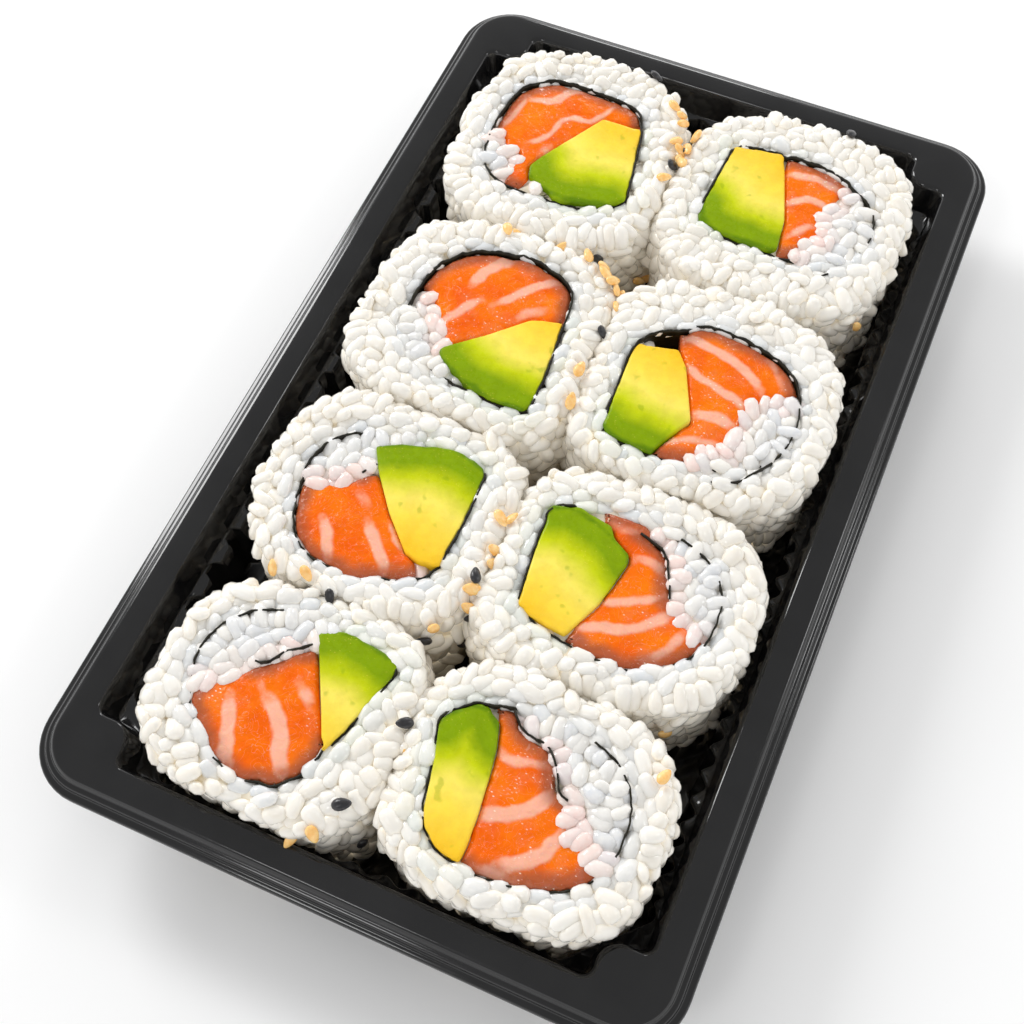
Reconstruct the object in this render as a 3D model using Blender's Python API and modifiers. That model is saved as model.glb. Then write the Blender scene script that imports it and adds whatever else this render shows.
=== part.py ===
"""Takeaway sushi tray: a black formed plastic tray with eight salmon and avocado rolls.

The tray is one sheet of plastic. From the middle outwards it has a flat floor, ribbed walls, a
ledge, a plain band, a flat rim and a stepped lip. The rolls stand on their cut ends in two columns
of four. Each roll is five solids that run through its whole height: the outer rice, the nori
sheet, the avocado, the salmon and the pocket of inner rice.

The origin is at the middle of the tray's underside. X is the short side, Y is the long side and Z
is up. Sizes below are in millimetres and are turned into metres when a mesh is made.
"""

import math
import random
from typing import NamedTuple

import bmesh
import bpy
from mathutils import Vector
from mathutils.geometry import delaunay_2d_cdt

MM = 0.001
MERGE_DISTANCE = 0.00001
COLLECTION = "sushi_tray"

# Tray: heights
SHEET = 0.45
RIM_TOP = 25.0
LEDGE_TOP = 17.2
FLOOR_TOP = SHEET

# Tray: rim and opening, half sizes
RIM_HALF = (64.0, 107.7)
RIM_RADIUS = 9.5
OPENING_HALF = (58.3, 102.2)
CORNER_STEP = (8.8, 8.0)
STEP_TURN_RADIUS = 2.2
STEP_NOSE_RADIUS = 4.0
ARC_STEPS = 4

# Tray: sections. Each pair is how far a ring lies beyond its outline, and how far below the rim top.
BAND_SECTION = ((-1.8, 7.8), (-0.5, 0.9), (-0.15, 0.2), (0.25, 0.0))
LIP_SECTION = ((-0.5, 0.0), (0.1, 0.35), (0.6, 1.5), (1.45, 1.75), (1.8, 2.75), (3.0, 2.95), (3.3, 3.9))

# Tray: ribs
LEDGE_WIDTH = 0.5
SIDE_RIB_DEPTH = 2.0
END_RIB_DEPTH = 1.2
RIB_PITCH = 8.6
RIB_CREST = 5.0
RIB_FLANK = 0.9
FLUTE_PITCH = 5.6
FLUTE_CREST = 2.0
WALL_DRAFT = 0.6
CORNER_CUT = 13.5

# Rolls
ROLL_BOTTOM = FLOOR_TOP + 0.3
CLEARANCE = 0.3
NORI_THICKNESS = 0.6
ROLL_POWER = 2.9
OUTER_POINTS = 32
CORE_POINTS = 20
KNIFE_MARGIN = 4.0
RICE_UNEVENNESS = 0.55
RICE_FOOT = ((1.2, ROLL_BOTTOM), (1.0, LEDGE_TOP - 0.4))
RICE_BULGE = (0.3, LEDGE_TOP + 5.3)
RICE_SHOULDER = ((0.0, 2.2), (1.3, 0.0))
NEIGHBOUR_REACH = 75.0
SALMON_DROP = 0.9
AVOCADO_DROP = 0.6
POCKET_DROP = 1.0
NORI_DROP = 0.5


class Slice(NamedTuple):
    """A straight cut: the direction it faces, in degrees, and its distance from the middle."""

    angle: float
    reach: float


class Knife(NamedTuple):
    """A cut that frees the avocado: it holds the edge from first to last angle, and bends once."""

    first: float
    last: float
    bend: tuple


class Roll(NamedTuple):
    """One roll: its middle, half sizes and top, then its filling and the cuts between its pieces."""

    name: str
    middle: tuple
    half: tuple
    top: float
    core_middle: tuple
    core_half: tuple
    core_turn: float
    core_power: float
    flat: Slice
    knife: Knife
    pocket: Slice
    avocado_end: Slice


UNCUT = Slice(90, 40)
ROLLS = (
    Roll("left_1", (-26.5, 68.5), (26.0, 28.0), 32.0, (-26.0, 68.0), (18.0, 16.5), 0, 4.0,
         Slice(12, 16.0), Knife(-109, 37, (4.0, 9.5)), Slice(-145, 14.5), UNCUT),
    Roll("left_2", (-24.0, 14.8), (27.2, 26.5), 32.5, (-18.5, 15.0), (22.0, 17.5), -8, 2.7,
         Slice(6, 11.5), Knife(-136, 30, (-0.5, -1.5)), Slice(-148, 14.5), UNCUT),
    Roll("left_3", (-25.0, -32.0), (27.0, 24.0), 32.0, (-23.0, -33.5), (19.0, 16.0), 13, 3.1,
         Slice(0, 14.5), Knife(-31, 127, (6.5, -8.5)), Slice(122, 7.0), Slice(99, 13.5)),
    Roll("left_4", (-24.0, -78.5), (26.5, 22.5), 32.0, (-17.5, -78.5), (26.0, 16.5), -10, 2.2,
         Slice(-17, 7.0), Knife(-50, 111, (0.5, 3.0)), Slice(130, 12.0), Slice(90, 15.0)),
    Roll("right_1", (26.5, 70.0), (27.0, 26.5), 32.0, (23.5, 70.0), (23.5, 13.5), -3, 2.4,
         Slice(178, 13.5), Knife(97, 292, (2.0, 1.5)), Slice(-3, 14.0), UNCUT),
    Roll("right_2", (27.0, 17.5), (27.5, 26.0), 32.5, (26.5, 14.5), (20.5, 16.0), 9, 2.6,
         Slice(-176, 17.5), Knife(126, 251, (-0.5, -4.0)), Slice(-21, 13.0), Slice(114, 12.5)),
    Roll("right_3", (27.0, -31.5), (27.5, 23.5), 32.0, (25.5, -32.0), (21.5, 15.0), -1, 2.5,
         Slice(-173, 17.0), Knife(121, 253, (0.5, 7.0)), Slice(43, 10.5), UNCUT),
    Roll("right_4", (26.5, -77.5), (27.0, 22.5), 32.5, (25.0, -78.5), (21.0, 15.5), 2, 2.6,
         Slice(-164, 16.0), Knife(129, 255, (-9.0, 11.0)), Slice(42, 8.5), UNCUT),
)


def clear_scene():
    """Remove every object that the file starts with."""
    for item in list(bpy.data.objects):
        bpy.data.objects.remove(item, do_unlink=True)


def make_material(name, colour, roughness, metallic=0.0):
    """Make a Principled material with one colour."""
    material = bpy.data.materials.new(name)
    material.use_nodes = True
    shader = material.node_tree.nodes["Principled BSDF"]
    shader.inputs["Base Color"].default_value = (*colour, 1.0)
    shader.inputs["Roughness"].default_value = roughness
    shader.inputs["Metallic"].default_value = metallic
    return material


def make_object(name, mesh_source, material, collection):
    """Turn a finished bmesh, in millimetres, into a named object in metres."""
    bmesh.ops.scale(mesh_source, vec=(MM, MM, MM), verts=mesh_source.verts)
    mesh = bpy.data.meshes.new(name)
    mesh_source.to_mesh(mesh)
    mesh_source.free()
    mesh.materials.append(material)
    item = bpy.data.objects.new(name, mesh)
    collection.objects.link(item)
    return item


def point_out(mesh_source):
    """Turn all faces of a closed mesh outwards."""
    bmesh.ops.recalc_face_normals(mesh_source, faces=mesh_source.faces)


def add_ring(mesh_source, outline, height):
    """Add a closed loop of edges along an outline at one height."""
    verts = [mesh_source.verts.new((x, y, height)) for x, y in outline]
    pairs = zip(verts, verts[1:] + verts[:1])
    return [mesh_source.edges.new(pair) for pair in pairs]


def bridge(mesh_source, rings):
    """Join each ring of edges to the next one."""
    for lower, upper in zip(rings, rings[1:]):
        bmesh.ops.bridge_loops(mesh_source, edges=lower + upper)


def lies_inside(x, y, outline):
    """Tell whether a point lies inside an outline."""
    inside = False
    for (ax, ay), (bx, by) in zip(outline, outline[1:] + outline[:1]):
        if (ay > y) != (by > y) and x < ax + (y - ay) * (bx - ax) / (by - ay):
            inside = not inside
    return inside


def fill_flat(mesh_source, outer, inner):
    """Fill the flat area between one ring of edges and another ring inside it."""
    rings = [[edge.verts[0] for edge in ring] for ring in (outer, inner)]
    verts = rings[0] + rings[1]
    points = [Vector(vert.co.xy) for vert in verts]
    pairs = []
    for ring in rings:
        places = [verts.index(vert) for vert in ring]
        pairs += zip(places, places[1:] + places[:1])
    outlines = [[(vert.co.x, vert.co.y) for vert in ring] for ring in rings]
    found, _, faces, sources, _, _ = delaunay_2d_cdt(points, pairs, [], 0, MERGE_DISTANCE)
    for face in faces:
        x = sum(found[index].x for index in face) / len(face)
        y = sum(found[index].y for index in face) / len(face)
        if lies_inside(x, y, outlines[0]) and not lies_inside(x, y, outlines[1]):
            mesh_source.faces.new([verts[sources[index][0]] for index in face])


def rounded_outline(corners, steps):
    """Round each corner of a polygon, given as (x, y, radius), with an arc of some steps."""
    outline = []
    for index, (x, y, radius) in enumerate(corners):
        before = corners[index - 1]
        after = corners[(index + 1) % len(corners)]
        start = math.atan2(before[1] - y, before[0] - x)
        end = math.atan2(after[1] - y, after[0] - x)
        turn = (end - start + math.pi) % (2 * math.pi) - math.pi
        middle = start + turn / 2
        to_centre = radius / math.sin(abs(turn) / 2)
        centre = (x + to_centre * math.cos(middle), y + to_centre * math.sin(middle))
        sweep = math.copysign(math.pi - abs(turn), -turn)
        first = middle + math.pi - sweep / 2
        for step in range(steps + 1):
            angle = first + sweep * step / steps
            outline.append((centre[0] + radius * math.cos(angle), centre[1] + radius * math.sin(angle)))
    return outline


def mirrored_corners(corner):
    """Repeat the points of one corner, listed anticlockwise, at all four corners."""
    back_left = [(-x, y, radius) for x, y, radius in reversed(corner)]
    front_left = [(-x, -y, radius) for x, y, radius in corner]
    front_right = [(x, -y, radius) for x, y, radius in reversed(corner)]
    return corner + back_left + front_left + front_right


def opening_outline(beyond):
    """The opening with its stepped corners, grown by a distance."""
    half_x = OPENING_HALF[0] + beyond
    half_y = OPENING_HALF[1] + beyond
    step_x = OPENING_HALF[0] - CORNER_STEP[0] + beyond
    step_y = OPENING_HALF[1] - CORNER_STEP[1] + beyond
    turn = STEP_TURN_RADIUS + beyond * 0.5
    nose = STEP_NOSE_RADIUS - beyond
    corner = [(half_x, step_y, turn), (step_x, step_y, nose), (step_x, half_y, turn)]
    return rounded_outline(mirrored_corners(corner), ARC_STEPS)


def rim_outline(beyond):
    """The rounded outside of the rim, grown by a distance, with as many points as the opening."""
    half_x = RIM_HALF[0] + beyond
    half_y = RIM_HALF[1] + beyond
    corner = [(half_x, half_y, RIM_RADIUS + beyond)]
    return rounded_outline(mirrored_corners(corner), 3 * (ARC_STEPS + 1) - 1)


def rib_profile(length, depth, pitch, crest, flank):
    """One wall's ribs, as (distance along the wall, depth) from its start to its end."""
    count = int(length // pitch)
    first = (length - count * pitch) / 2
    profile = []
    for index in range(count):
        middle = first + (index + 0.5) * pitch
        half = crest / 2
        profile.append((middle - half - flank, 0.0))
        profile.append((middle - half, depth))
        profile.append((middle + half, depth))
        profile.append((middle + half + flank, 0.0))
    return profile


def wall_outline(shrink):
    """The ribbed wall seen from above: four ribbed sides with cut corners, drawn in by a distance."""
    edge = LEDGE_WIDTH - BAND_SECTION[0][0]
    side = 2 * (OPENING_HALF[1] - edge - CORNER_CUT)
    end = 2 * (OPENING_HALF[0] - edge - CORNER_CUT)
    half_x = OPENING_HALF[0] - edge - shrink
    half_y = OPENING_HALF[1] - edge - shrink
    ribs = rib_profile(side, SIDE_RIB_DEPTH, RIB_PITCH, RIB_CREST, RIB_FLANK)
    flutes = rib_profile(side, SIDE_RIB_DEPTH, FLUTE_PITCH, FLUTE_CREST, RIB_FLANK)
    short_ribs = rib_profile(end, END_RIB_DEPTH, RIB_PITCH, RIB_CREST, RIB_FLANK)
    right = [(half_x - depth, along - side / 2) for along, depth in flutes]
    back = [(end / 2 - along, half_y - depth) for along, depth in short_ribs]
    left = [(-half_x + depth, side / 2 - along) for along, depth in ribs]
    front = [(along - end / 2, -half_y + depth) for along, depth in short_ribs]
    outline = []
    outline += [(half_x, -side / 2)] + right + [(half_x, side / 2)]
    outline += [(end / 2, half_y)] + back + [(-end / 2, half_y)]
    outline += [(-half_x, side / 2)] + left + [(-half_x, -side / 2)]
    outline += [(-end / 2, -half_y)] + front + [(end / 2, -half_y)]
    return outline


def build_tray(material, collection):
    """The tray: rings from the floor to the lip, given the thickness of the sheet."""
    shape = bmesh.new()
    foot = add_ring(shape, wall_outline(WALL_DRAFT), FLOOR_TOP)
    crest = add_ring(shape, wall_outline(0.0), LEDGE_TOP)
    band = [add_ring(shape, opening_outline(beyond), RIM_TOP - drop) for beyond, drop in BAND_SECTION]
    lip = [add_ring(shape, rim_outline(beyond), RIM_TOP - drop) for beyond, drop in LIP_SECTION]
    bmesh.ops.contextual_create(shape, geom=foot)
    bridge(shape, [foot, crest])
    fill_flat(shape, band[0], crest)
    bridge(shape, band + lip)
    bmesh.ops.recalc_face_normals(shape, faces=shape.faces)
    tray = make_object("tray", shape, material, collection)
    sheet = tray.modifiers.new("sheet", "SOLIDIFY")
    sheet.thickness = SHEET * MM
    sheet.offset = -1.0
    sheet.use_even_offset = True
    return tray


def oval_radius(angle, half, turn, power):
    """How far the edge of a squared-off oval lies from its middle, in one direction."""
    along = abs(math.cos(angle - turn)) / half[0]
    across = abs(math.sin(angle - turn)) / half[1]
    return (along ** power + across ** power) ** (-1.0 / power)


def slice_radius(angle, cut):
    """How far a straight cut lies from the middle, in one direction."""
    facing = math.cos(angle - math.radians(cut.angle))
    if facing < 0.05:
        return math.inf
    return cut.reach / facing


def outer_outline(roll):
    """The uneven outside of a roll, pressed flat where it meets its neighbours."""
    dice = random.Random(roll.name)
    presses = []
    for other in ROLLS:
        gap_x = other.middle[0] - roll.middle[0]
        gap_y = other.middle[1] - roll.middle[1]
        distance = math.hypot(gap_x, gap_y)
        if other.name == roll.name or distance > NEIGHBOUR_REACH:
            continue
        angle = math.atan2(gap_y, gap_x)
        mine = oval_radius(angle, roll.half, 0.0, ROLL_POWER)
        theirs = oval_radius(angle, other.half, 0.0, ROLL_POWER)
        reach = distance * mine / (mine + theirs) - CLEARANCE
        presses.append(Slice(math.degrees(angle), reach))
    outline = []
    for index in range(OUTER_POINTS):
        angle = 2 * math.pi * index / OUTER_POINTS
        radius = oval_radius(angle, roll.half, 0.0, ROLL_POWER)
        radius += dice.uniform(-RICE_UNEVENNESS, RICE_UNEVENNESS)
        radius = min([radius] + [slice_radius(angle, press) for press in presses])
        outline.append((radius * math.cos(angle), radius * math.sin(angle)))
    return outline


def core_point(roll, degrees, grow):
    """A point on the edge of the filling, seen from the filling's own middle."""
    angle = math.radians(degrees)
    oval = oval_radius(angle, roll.core_half, math.radians(roll.core_turn), roll.core_power)
    radius = min(oval, slice_radius(angle, roll.flat)) + grow
    return (radius * math.cos(angle), radius * math.sin(angle))


def core_outline(roll, grow):
    """The outline of the filling about its own middle, grown by a distance."""
    return [core_point(roll, 360.0 * index / CORE_POINTS, grow) for index in range(CORE_POINTS)]


def core_arc(roll, first, last):
    """The edge of the filling from one angle to another, with the core outline's points between."""
    step = 360.0 / CORE_POINTS
    arc = [core_point(roll, first, 0.0)]
    index = math.ceil((first + KNIFE_MARGIN) / step)
    while index * step < last - KNIFE_MARGIN:
        arc.append(core_point(roll, index * step, 0.0))
        index += 1
    arc.append(core_point(roll, last, 0.0))
    return arc


def inset_outline(outline, distance):
    """Move every side of an anticlockwise outline inwards by a distance."""
    result = []
    for index, (x, y) in enumerate(outline):
        before = outline[index - 1]
        after = outline[(index + 1) % len(outline)]
        into = math.hypot(x - before[0], y - before[1])
        out = math.hypot(after[0] - x, after[1] - y)
        first = ((before[1] - y) / into, (x - before[0]) / into)
        second = ((y - after[1]) / out, (after[0] - x) / out)
        share = distance / (1.0 + first[0] * second[0] + first[1] * second[1])
        result.append((x + share * (first[0] + second[0]), y + share * (first[1] + second[1])))
    return result


def cut_outline(outline, cut, keep_beyond):
    """Cut an outline along a straight slice and keep one side of it, less half a clearance."""
    facing = (math.cos(math.radians(cut.angle)), math.sin(math.radians(cut.angle)))
    side = 1.0 if keep_beyond else -1.0
    depths = []
    for x, y in outline:
        depths.append(side * (x * facing[0] + y * facing[1] - cut.reach) - CLEARANCE / 2)
    kept = []
    for index, here in enumerate(outline):
        there = outline[(index + 1) % len(outline)]
        depth = depths[index]
        next_depth = depths[(index + 1) % len(outline)]
        if depth >= 0:
            kept.append(here)
        if (depth >= 0) != (next_depth >= 0):
            share = depth / (depth - next_depth)
            kept.append((here[0] + share * (there[0] - here[0]), here[1] + share * (there[1] - here[1])))
    return kept


def place(outline, middle):
    """Move an outline to its middle."""
    return [(x + middle[0], y + middle[1]) for x, y in outline]


def shrunk(outline, inset):
    """Move each point of an outline towards its middle by a distance."""
    result = []
    for x, y in outline:
        share = 1.0 - inset / math.hypot(x, y)
        result.append((x * share, y * share))
    return result


def within_walls(outline):
    """Press an outline flat where it would reach past the ribs or the cut corners of the wall."""
    edge = BAND_SECTION[0][0] - LEDGE_WIDTH - WALL_DRAFT - CLEARANCE
    valley = (OPENING_HALF[0] + edge, OPENING_HALF[1] + edge)
    limit = (valley[0] - SIDE_RIB_DEPTH, valley[1] - END_RIB_DEPTH)
    corner = valley[0] + valley[1] - CORNER_CUT
    result = []
    for x, y in outline:
        x = max(-limit[0], min(limit[0], x))
        y = max(-limit[1], min(limit[1], y))
        excess = max(0.0, abs(x) + abs(y) - corner) / 2
        result.append((x - math.copysign(excess, x), y - math.copysign(excess, y)))
    return result


def build_prism(name, outline, bottom, top, material, collection):
    """A solid with upright sides between two heights."""
    shape = bmesh.new()
    lower = add_ring(shape, outline, bottom)
    upper = add_ring(shape, outline, top)
    bridge(shape, [lower, upper])
    bmesh.ops.contextual_create(shape, geom=lower)
    bmesh.ops.contextual_create(shape, geom=upper)
    point_out(shape)
    return make_object(name, shape, material, collection)


def build_tube(name, outer_rings, inner, bottom, top, material, collection):
    """A solid with a hole right through: its outside is a list of (outline, height)."""
    shape = bmesh.new()
    outside = [add_ring(shape, outline, height) for outline, height in outer_rings]
    hole = [add_ring(shape, inner, height) for height in (bottom, top)]
    bridge(shape, outside)
    bridge(shape, hole)
    fill_flat(shape, outside[0], hole[0])
    fill_flat(shape, outside[-1], hole[-1])
    point_out(shape)
    return make_object(name, shape, material, collection)


def build_roll(roll, materials, collection):
    """One roll: outer rice, nori, avocado, salmon and the pocket of inner rice."""
    prefix = "roll_" + roll.name
    bottom = ROLL_BOTTOM
    nori_inside = place(core_outline(roll, CLEARANCE), roll.core_middle)
    nori_outside = place(core_outline(roll, CLEARANCE + NORI_THICKNESS), roll.core_middle)
    rice_inside = place(core_outline(roll, 2 * CLEARANCE + NORI_THICKNESS), roll.core_middle)
    outside = outer_outline(roll)
    rings = []
    for inset, height in RICE_FOOT:
        rings.append((within_walls(place(shrunk(outside, inset), roll.middle)), height))
    rings.append((place(shrunk(outside, RICE_BULGE[0]), roll.middle), RICE_BULGE[1]))
    rings += [(place(shrunk(outside, inset), roll.middle), roll.top - drop) for inset, drop in RICE_SHOULDER]
    build_tube(prefix + "_rice", rings, rice_inside, bottom, roll.top, materials["rice"], collection)

    nori_top = roll.top - NORI_DROP
    nori_rings = [(nori_outside, bottom), (nori_outside, nori_top)]
    build_tube(prefix + "_nori", nori_rings, nori_inside, bottom, nori_top, materials["nori"], collection)

    knife = roll.knife
    avocado = core_arc(roll, knife.first, knife.last) + [knife.bend]
    avocado = cut_outline(inset_outline(avocado, CLEARANCE / 2), roll.avocado_end, False)
    rest = core_arc(roll, knife.last, knife.first + 360.0) + [knife.bend]
    rest = inset_outline(rest, CLEARANCE / 2)
    salmon = cut_outline(rest, roll.pocket, False)
    pocket = cut_outline(rest, roll.pocket, True)
    fillings = (("avocado", avocado, AVOCADO_DROP), ("salmon", salmon, SALMON_DROP),
                ("pocket", pocket, POCKET_DROP))
    for kind, outline, drop in fillings:
        name = f"{prefix}_{kind}"
        outline = place(outline, roll.core_middle)
        build_prism(name, outline, bottom, roll.top - drop, materials[kind], collection)


def main():
    """Build the tray and the eight rolls."""
    clear_scene()
    collection = bpy.data.collections.new(COLLECTION)
    bpy.context.scene.collection.children.link(collection)
    materials = {
        "tray": make_material("black_plastic", (0.006, 0.006, 0.007), 0.32),
        "rice": make_material("cooked_rice", (0.83, 0.80, 0.73), 0.35),
        "pocket": make_material("inner_rice", (0.76, 0.74, 0.70), 0.30),
        "nori": make_material("nori", (0.012, 0.014, 0.010), 0.60),
        "salmon": make_material("salmon", (0.90, 0.22, 0.05), 0.25),
        "avocado": make_material("avocado", (0.62, 0.66, 0.12), 0.35),
    }
    build_tray(materials["tray"], collection)
    for roll in ROLLS:
        build_roll(roll, materials, collection)


main()
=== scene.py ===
"""Looks of the takeaway sushi tray: a black formed tray and eight rolls of rice, salmon and avocado.

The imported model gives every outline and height. Lengths in this file are in millimetres, and become
metres when a mesh is made. Each roll's rice is made of single grains that are packed over a smaller
core, and the fillings, the seaweed sheet and the tray are finished pieces of their own.
"""

from __future__ import annotations

import logging
import math
import random
from collections.abc import Callable
from dataclasses import dataclass, field
from enum import Enum

import bmesh
import bpy
import numpy as np
from mathutils import Matrix, Vector, noise


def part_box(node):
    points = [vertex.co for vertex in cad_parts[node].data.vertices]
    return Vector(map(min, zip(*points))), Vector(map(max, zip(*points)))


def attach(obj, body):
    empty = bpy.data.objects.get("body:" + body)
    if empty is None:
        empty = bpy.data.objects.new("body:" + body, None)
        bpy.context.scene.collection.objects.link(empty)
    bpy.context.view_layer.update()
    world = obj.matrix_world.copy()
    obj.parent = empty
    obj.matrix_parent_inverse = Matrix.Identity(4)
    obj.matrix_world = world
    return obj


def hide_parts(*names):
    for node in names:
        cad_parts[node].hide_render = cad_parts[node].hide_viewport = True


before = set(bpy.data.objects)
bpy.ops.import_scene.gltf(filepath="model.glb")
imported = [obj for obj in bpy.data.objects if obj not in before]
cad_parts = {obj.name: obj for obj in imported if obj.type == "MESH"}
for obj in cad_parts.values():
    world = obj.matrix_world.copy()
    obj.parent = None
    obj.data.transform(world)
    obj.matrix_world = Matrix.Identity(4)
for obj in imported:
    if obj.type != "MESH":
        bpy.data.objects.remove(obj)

MM = 0.001
MERGE_DISTANCE = 0.001
TAU = 2.0 * math.pi
TINT = "tint"
PATTERN = "pattern"
Point = tuple[float, float]

log = logging.getLogger("sushi_tray")


# ---------------------------------------------------------------------------------------------
# Meshes and outlines
# ---------------------------------------------------------------------------------------------


def finish_object(name: str, mesh: bpy.types.Mesh, material: bpy.types.Material) -> bpy.types.Object:
    """Make an object of a finished mesh, smooth it and let it ride on the root body.

    Args:
        name: The piece's name.
        mesh: Its mesh, in metres and in place.
        material: Its finish.

    Returns:
        The new object.
    """
    mesh.name = name
    mesh.materials.append(material)
    mesh.shade_smooth()
    item = bpy.data.objects.new(name, mesh)
    bpy.context.scene.collection.objects.link(item)
    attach(item, "root")
    return item


def shape_to_object(name: str, shape: bmesh.types.BMesh, material: bpy.types.Material) -> bpy.types.Object:
    """Turn a bmesh in millimetres into an object in metres.

    Args:
        name: The piece's name.
        shape: The finished bmesh, which is freed.
        material: Its finish.

    Returns:
        The new object.
    """
    bmesh.ops.scale(shape, vec=(MM, MM, MM), verts=shape.verts)
    mesh = bpy.data.meshes.new(name)
    shape.to_mesh(mesh)
    shape.free()
    return finish_object(name, mesh, material)


def signed_area(outline: np.ndarray) -> float:
    """The area inside an outline, positive when it runs anticlockwise."""
    ahead = np.roll(outline, -1, axis=0)
    return float(np.sum(outline[:, 0] * ahead[:, 1] - ahead[:, 0] * outline[:, 1]) / 2)


def top_outlines(node: str) -> list[np.ndarray]:
    """Read the outlines of a CAD node's highest face, the widest first.

    Args:
        node: The node's name.

    Returns:
        Anticlockwise outlines in millimetres, one array of points each.
    """
    shape = bmesh.new()
    shape.from_mesh(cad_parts[node].data)
    bmesh.ops.scale(shape, vec=(1 / MM, 1 / MM, 1 / MM), verts=shape.verts)
    bmesh.ops.remove_doubles(shape, verts=shape.verts, dist=MERGE_DISTANCE)
    top = max(vert.co.z for vert in shape.verts) - MERGE_DISTANCE * 10
    flat = {face for face in shape.faces if all(vert.co.z > top for vert in face.verts)}
    edges = {edge for face in flat for edge in face.edges if len(flat & set(edge.link_faces)) == 1}
    outlines = []
    while edges:
        edge = edges.pop()
        start, vert = edge.verts
        points = [start.co.to_2d()]
        while vert != start:
            points.append(vert.co.to_2d())
            edge = next(other for other in vert.link_edges if other in edges)
            edges.remove(edge)
            vert = edge.other_vert(vert)
        outline = np.array(points)
        outlines.append(outline if signed_area(outline) > 0 else outline[::-1])
    shape.free()
    return sorted(outlines, key=signed_area, reverse=True)


def smooth_outline(outline: np.ndarray, rounds: int) -> np.ndarray:
    """Cut each corner of an outline a few times over, which rounds it."""
    for _ in range(rounds):
        ahead = np.roll(outline, -1, axis=0)
        near = outline * 0.75 + ahead * 0.25
        far = outline * 0.25 + ahead * 0.75
        outline = np.stack((near, far), axis=1).reshape(-1, 2)
    return outline


def even_outline(outline: np.ndarray, count: int) -> np.ndarray:
    """Place a number of points at even steps along an outline."""
    closed = np.vstack((outline, outline[:1]))
    steps = np.hypot(*np.diff(closed, axis=0).T)
    along = np.concatenate(([0.0], np.cumsum(steps)))
    places = np.linspace(0.0, along[-1], count, endpoint=False)
    return np.stack([np.interp(places, along, closed[:, axis]) for axis in (0, 1)], axis=1)


def outline_normals(outline: np.ndarray) -> np.ndarray:
    """The outward direction at each point of an anticlockwise outline."""
    along = np.roll(outline, -1, axis=0) - np.roll(outline, 1, axis=0)
    along /= np.linalg.norm(along, axis=1, keepdims=True)
    return np.stack((along[:, 1], -along[:, 0]), axis=1)


def outline_distance(points: np.ndarray, outline: np.ndarray) -> tuple[np.ndarray, np.ndarray]:
    """How far points lie outside an outline, and the way outwards there.

    Args:
        points: Points in the plane.
        outline: An anticlockwise outline.

    Returns:
        The distance of each point, negative inside, and the unit direction away from the inside.
    """
    start = outline[None, :, :]
    run = np.roll(outline, -1, axis=0)[None, :, :] - start
    offset = points[:, None, :] - start
    share = np.clip(np.sum(offset * run, axis=2) / np.sum(run * run, axis=2), 0.0, 1.0)
    gap = offset - share[:, :, None] * run
    lengths = np.linalg.norm(gap, axis=2)
    nearest = np.argmin(lengths, axis=1)
    rows = np.arange(len(points))
    distance = lengths[rows, nearest]
    above = start[:, :, 1] > points[:, 1:2]
    end_above = above != (np.roll(outline, -1, axis=0)[None, :, 1] > points[:, 1:2])
    with np.errstate(divide="ignore", invalid="ignore"):
        crossing = start[:, :, 0] + run[:, :, 0] * offset[:, :, 1] / run[:, :, 1]
    inside = np.sum(end_above & (points[:, 0:1] < crossing), axis=1) % 2 == 1
    sign = np.where(inside, -1.0, 1.0)
    way = gap[rows, nearest] / np.maximum(distance, 1e-9)[:, None]
    return sign * distance, way * sign[:, None]


def open_curve(points: np.ndarray, rounds: int = 2) -> np.ndarray:
    """Round the corners of an open line, and keep its ends."""
    for _ in range(rounds):
        near = points[:-1] * 0.75 + points[1:] * 0.25
        far = points[:-1] * 0.25 + points[1:] * 0.75
        cut = np.stack((near, far), axis=1).reshape(-1, 2)
        points = np.vstack((points[:1], cut[1:-1], points[-1:]))
    return points


def line_distance(points: np.ndarray, line: np.ndarray) -> tuple[np.ndarray, np.ndarray]:
    """How far points lie from an open line.

    Args:
        points: Points in the plane.
        line: The points that the line runs through.

    Returns:
        The distance of each point, and the unit direction away from the line.
    """
    start = line[None, :-1, :]
    run = line[None, 1:, :] - start
    offset = points[:, None, :] - start
    share = np.clip(np.sum(offset * run, axis=2) / np.maximum(np.sum(run * run, axis=2), 1e-9), 0.0, 1.0)
    gap = offset - share[:, :, None] * run
    lengths = np.linalg.norm(gap, axis=2)
    nearest = np.argmin(lengths, axis=1)
    rows = np.arange(len(points))
    distance = lengths[rows, nearest]
    return distance, gap[rows, nearest] / np.maximum(distance, 1e-9)[:, None]


def keep_inside(points: np.ndarray, outline: np.ndarray, gap: float) -> np.ndarray:
    """Move points that lie too near or beyond an outline to a gap inside it."""
    distance, way = outline_distance(points, outline)
    return points - way * np.maximum(0.0, distance + gap)[:, None]


def keep_outside(points: np.ndarray, outline: np.ndarray, gap: float) -> np.ndarray:
    """Move points that lie inside or too near an outline to a gap outside it."""
    distance, way = outline_distance(points, outline)
    return points + way * np.maximum(0.0, gap - distance)[:, None]


def add_ring(shape: bmesh.types.BMesh, outline: np.ndarray, height: float) -> list[bmesh.types.BMEdge]:
    """Add a closed loop of edges at one height."""
    verts = [shape.verts.new((x, y, height)) for x, y in outline]
    return [shape.edges.new(pair) for pair in zip(verts, verts[1:] + verts[:1])]


# ---------------------------------------------------------------------------------------------
# Materials
# ---------------------------------------------------------------------------------------------


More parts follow.
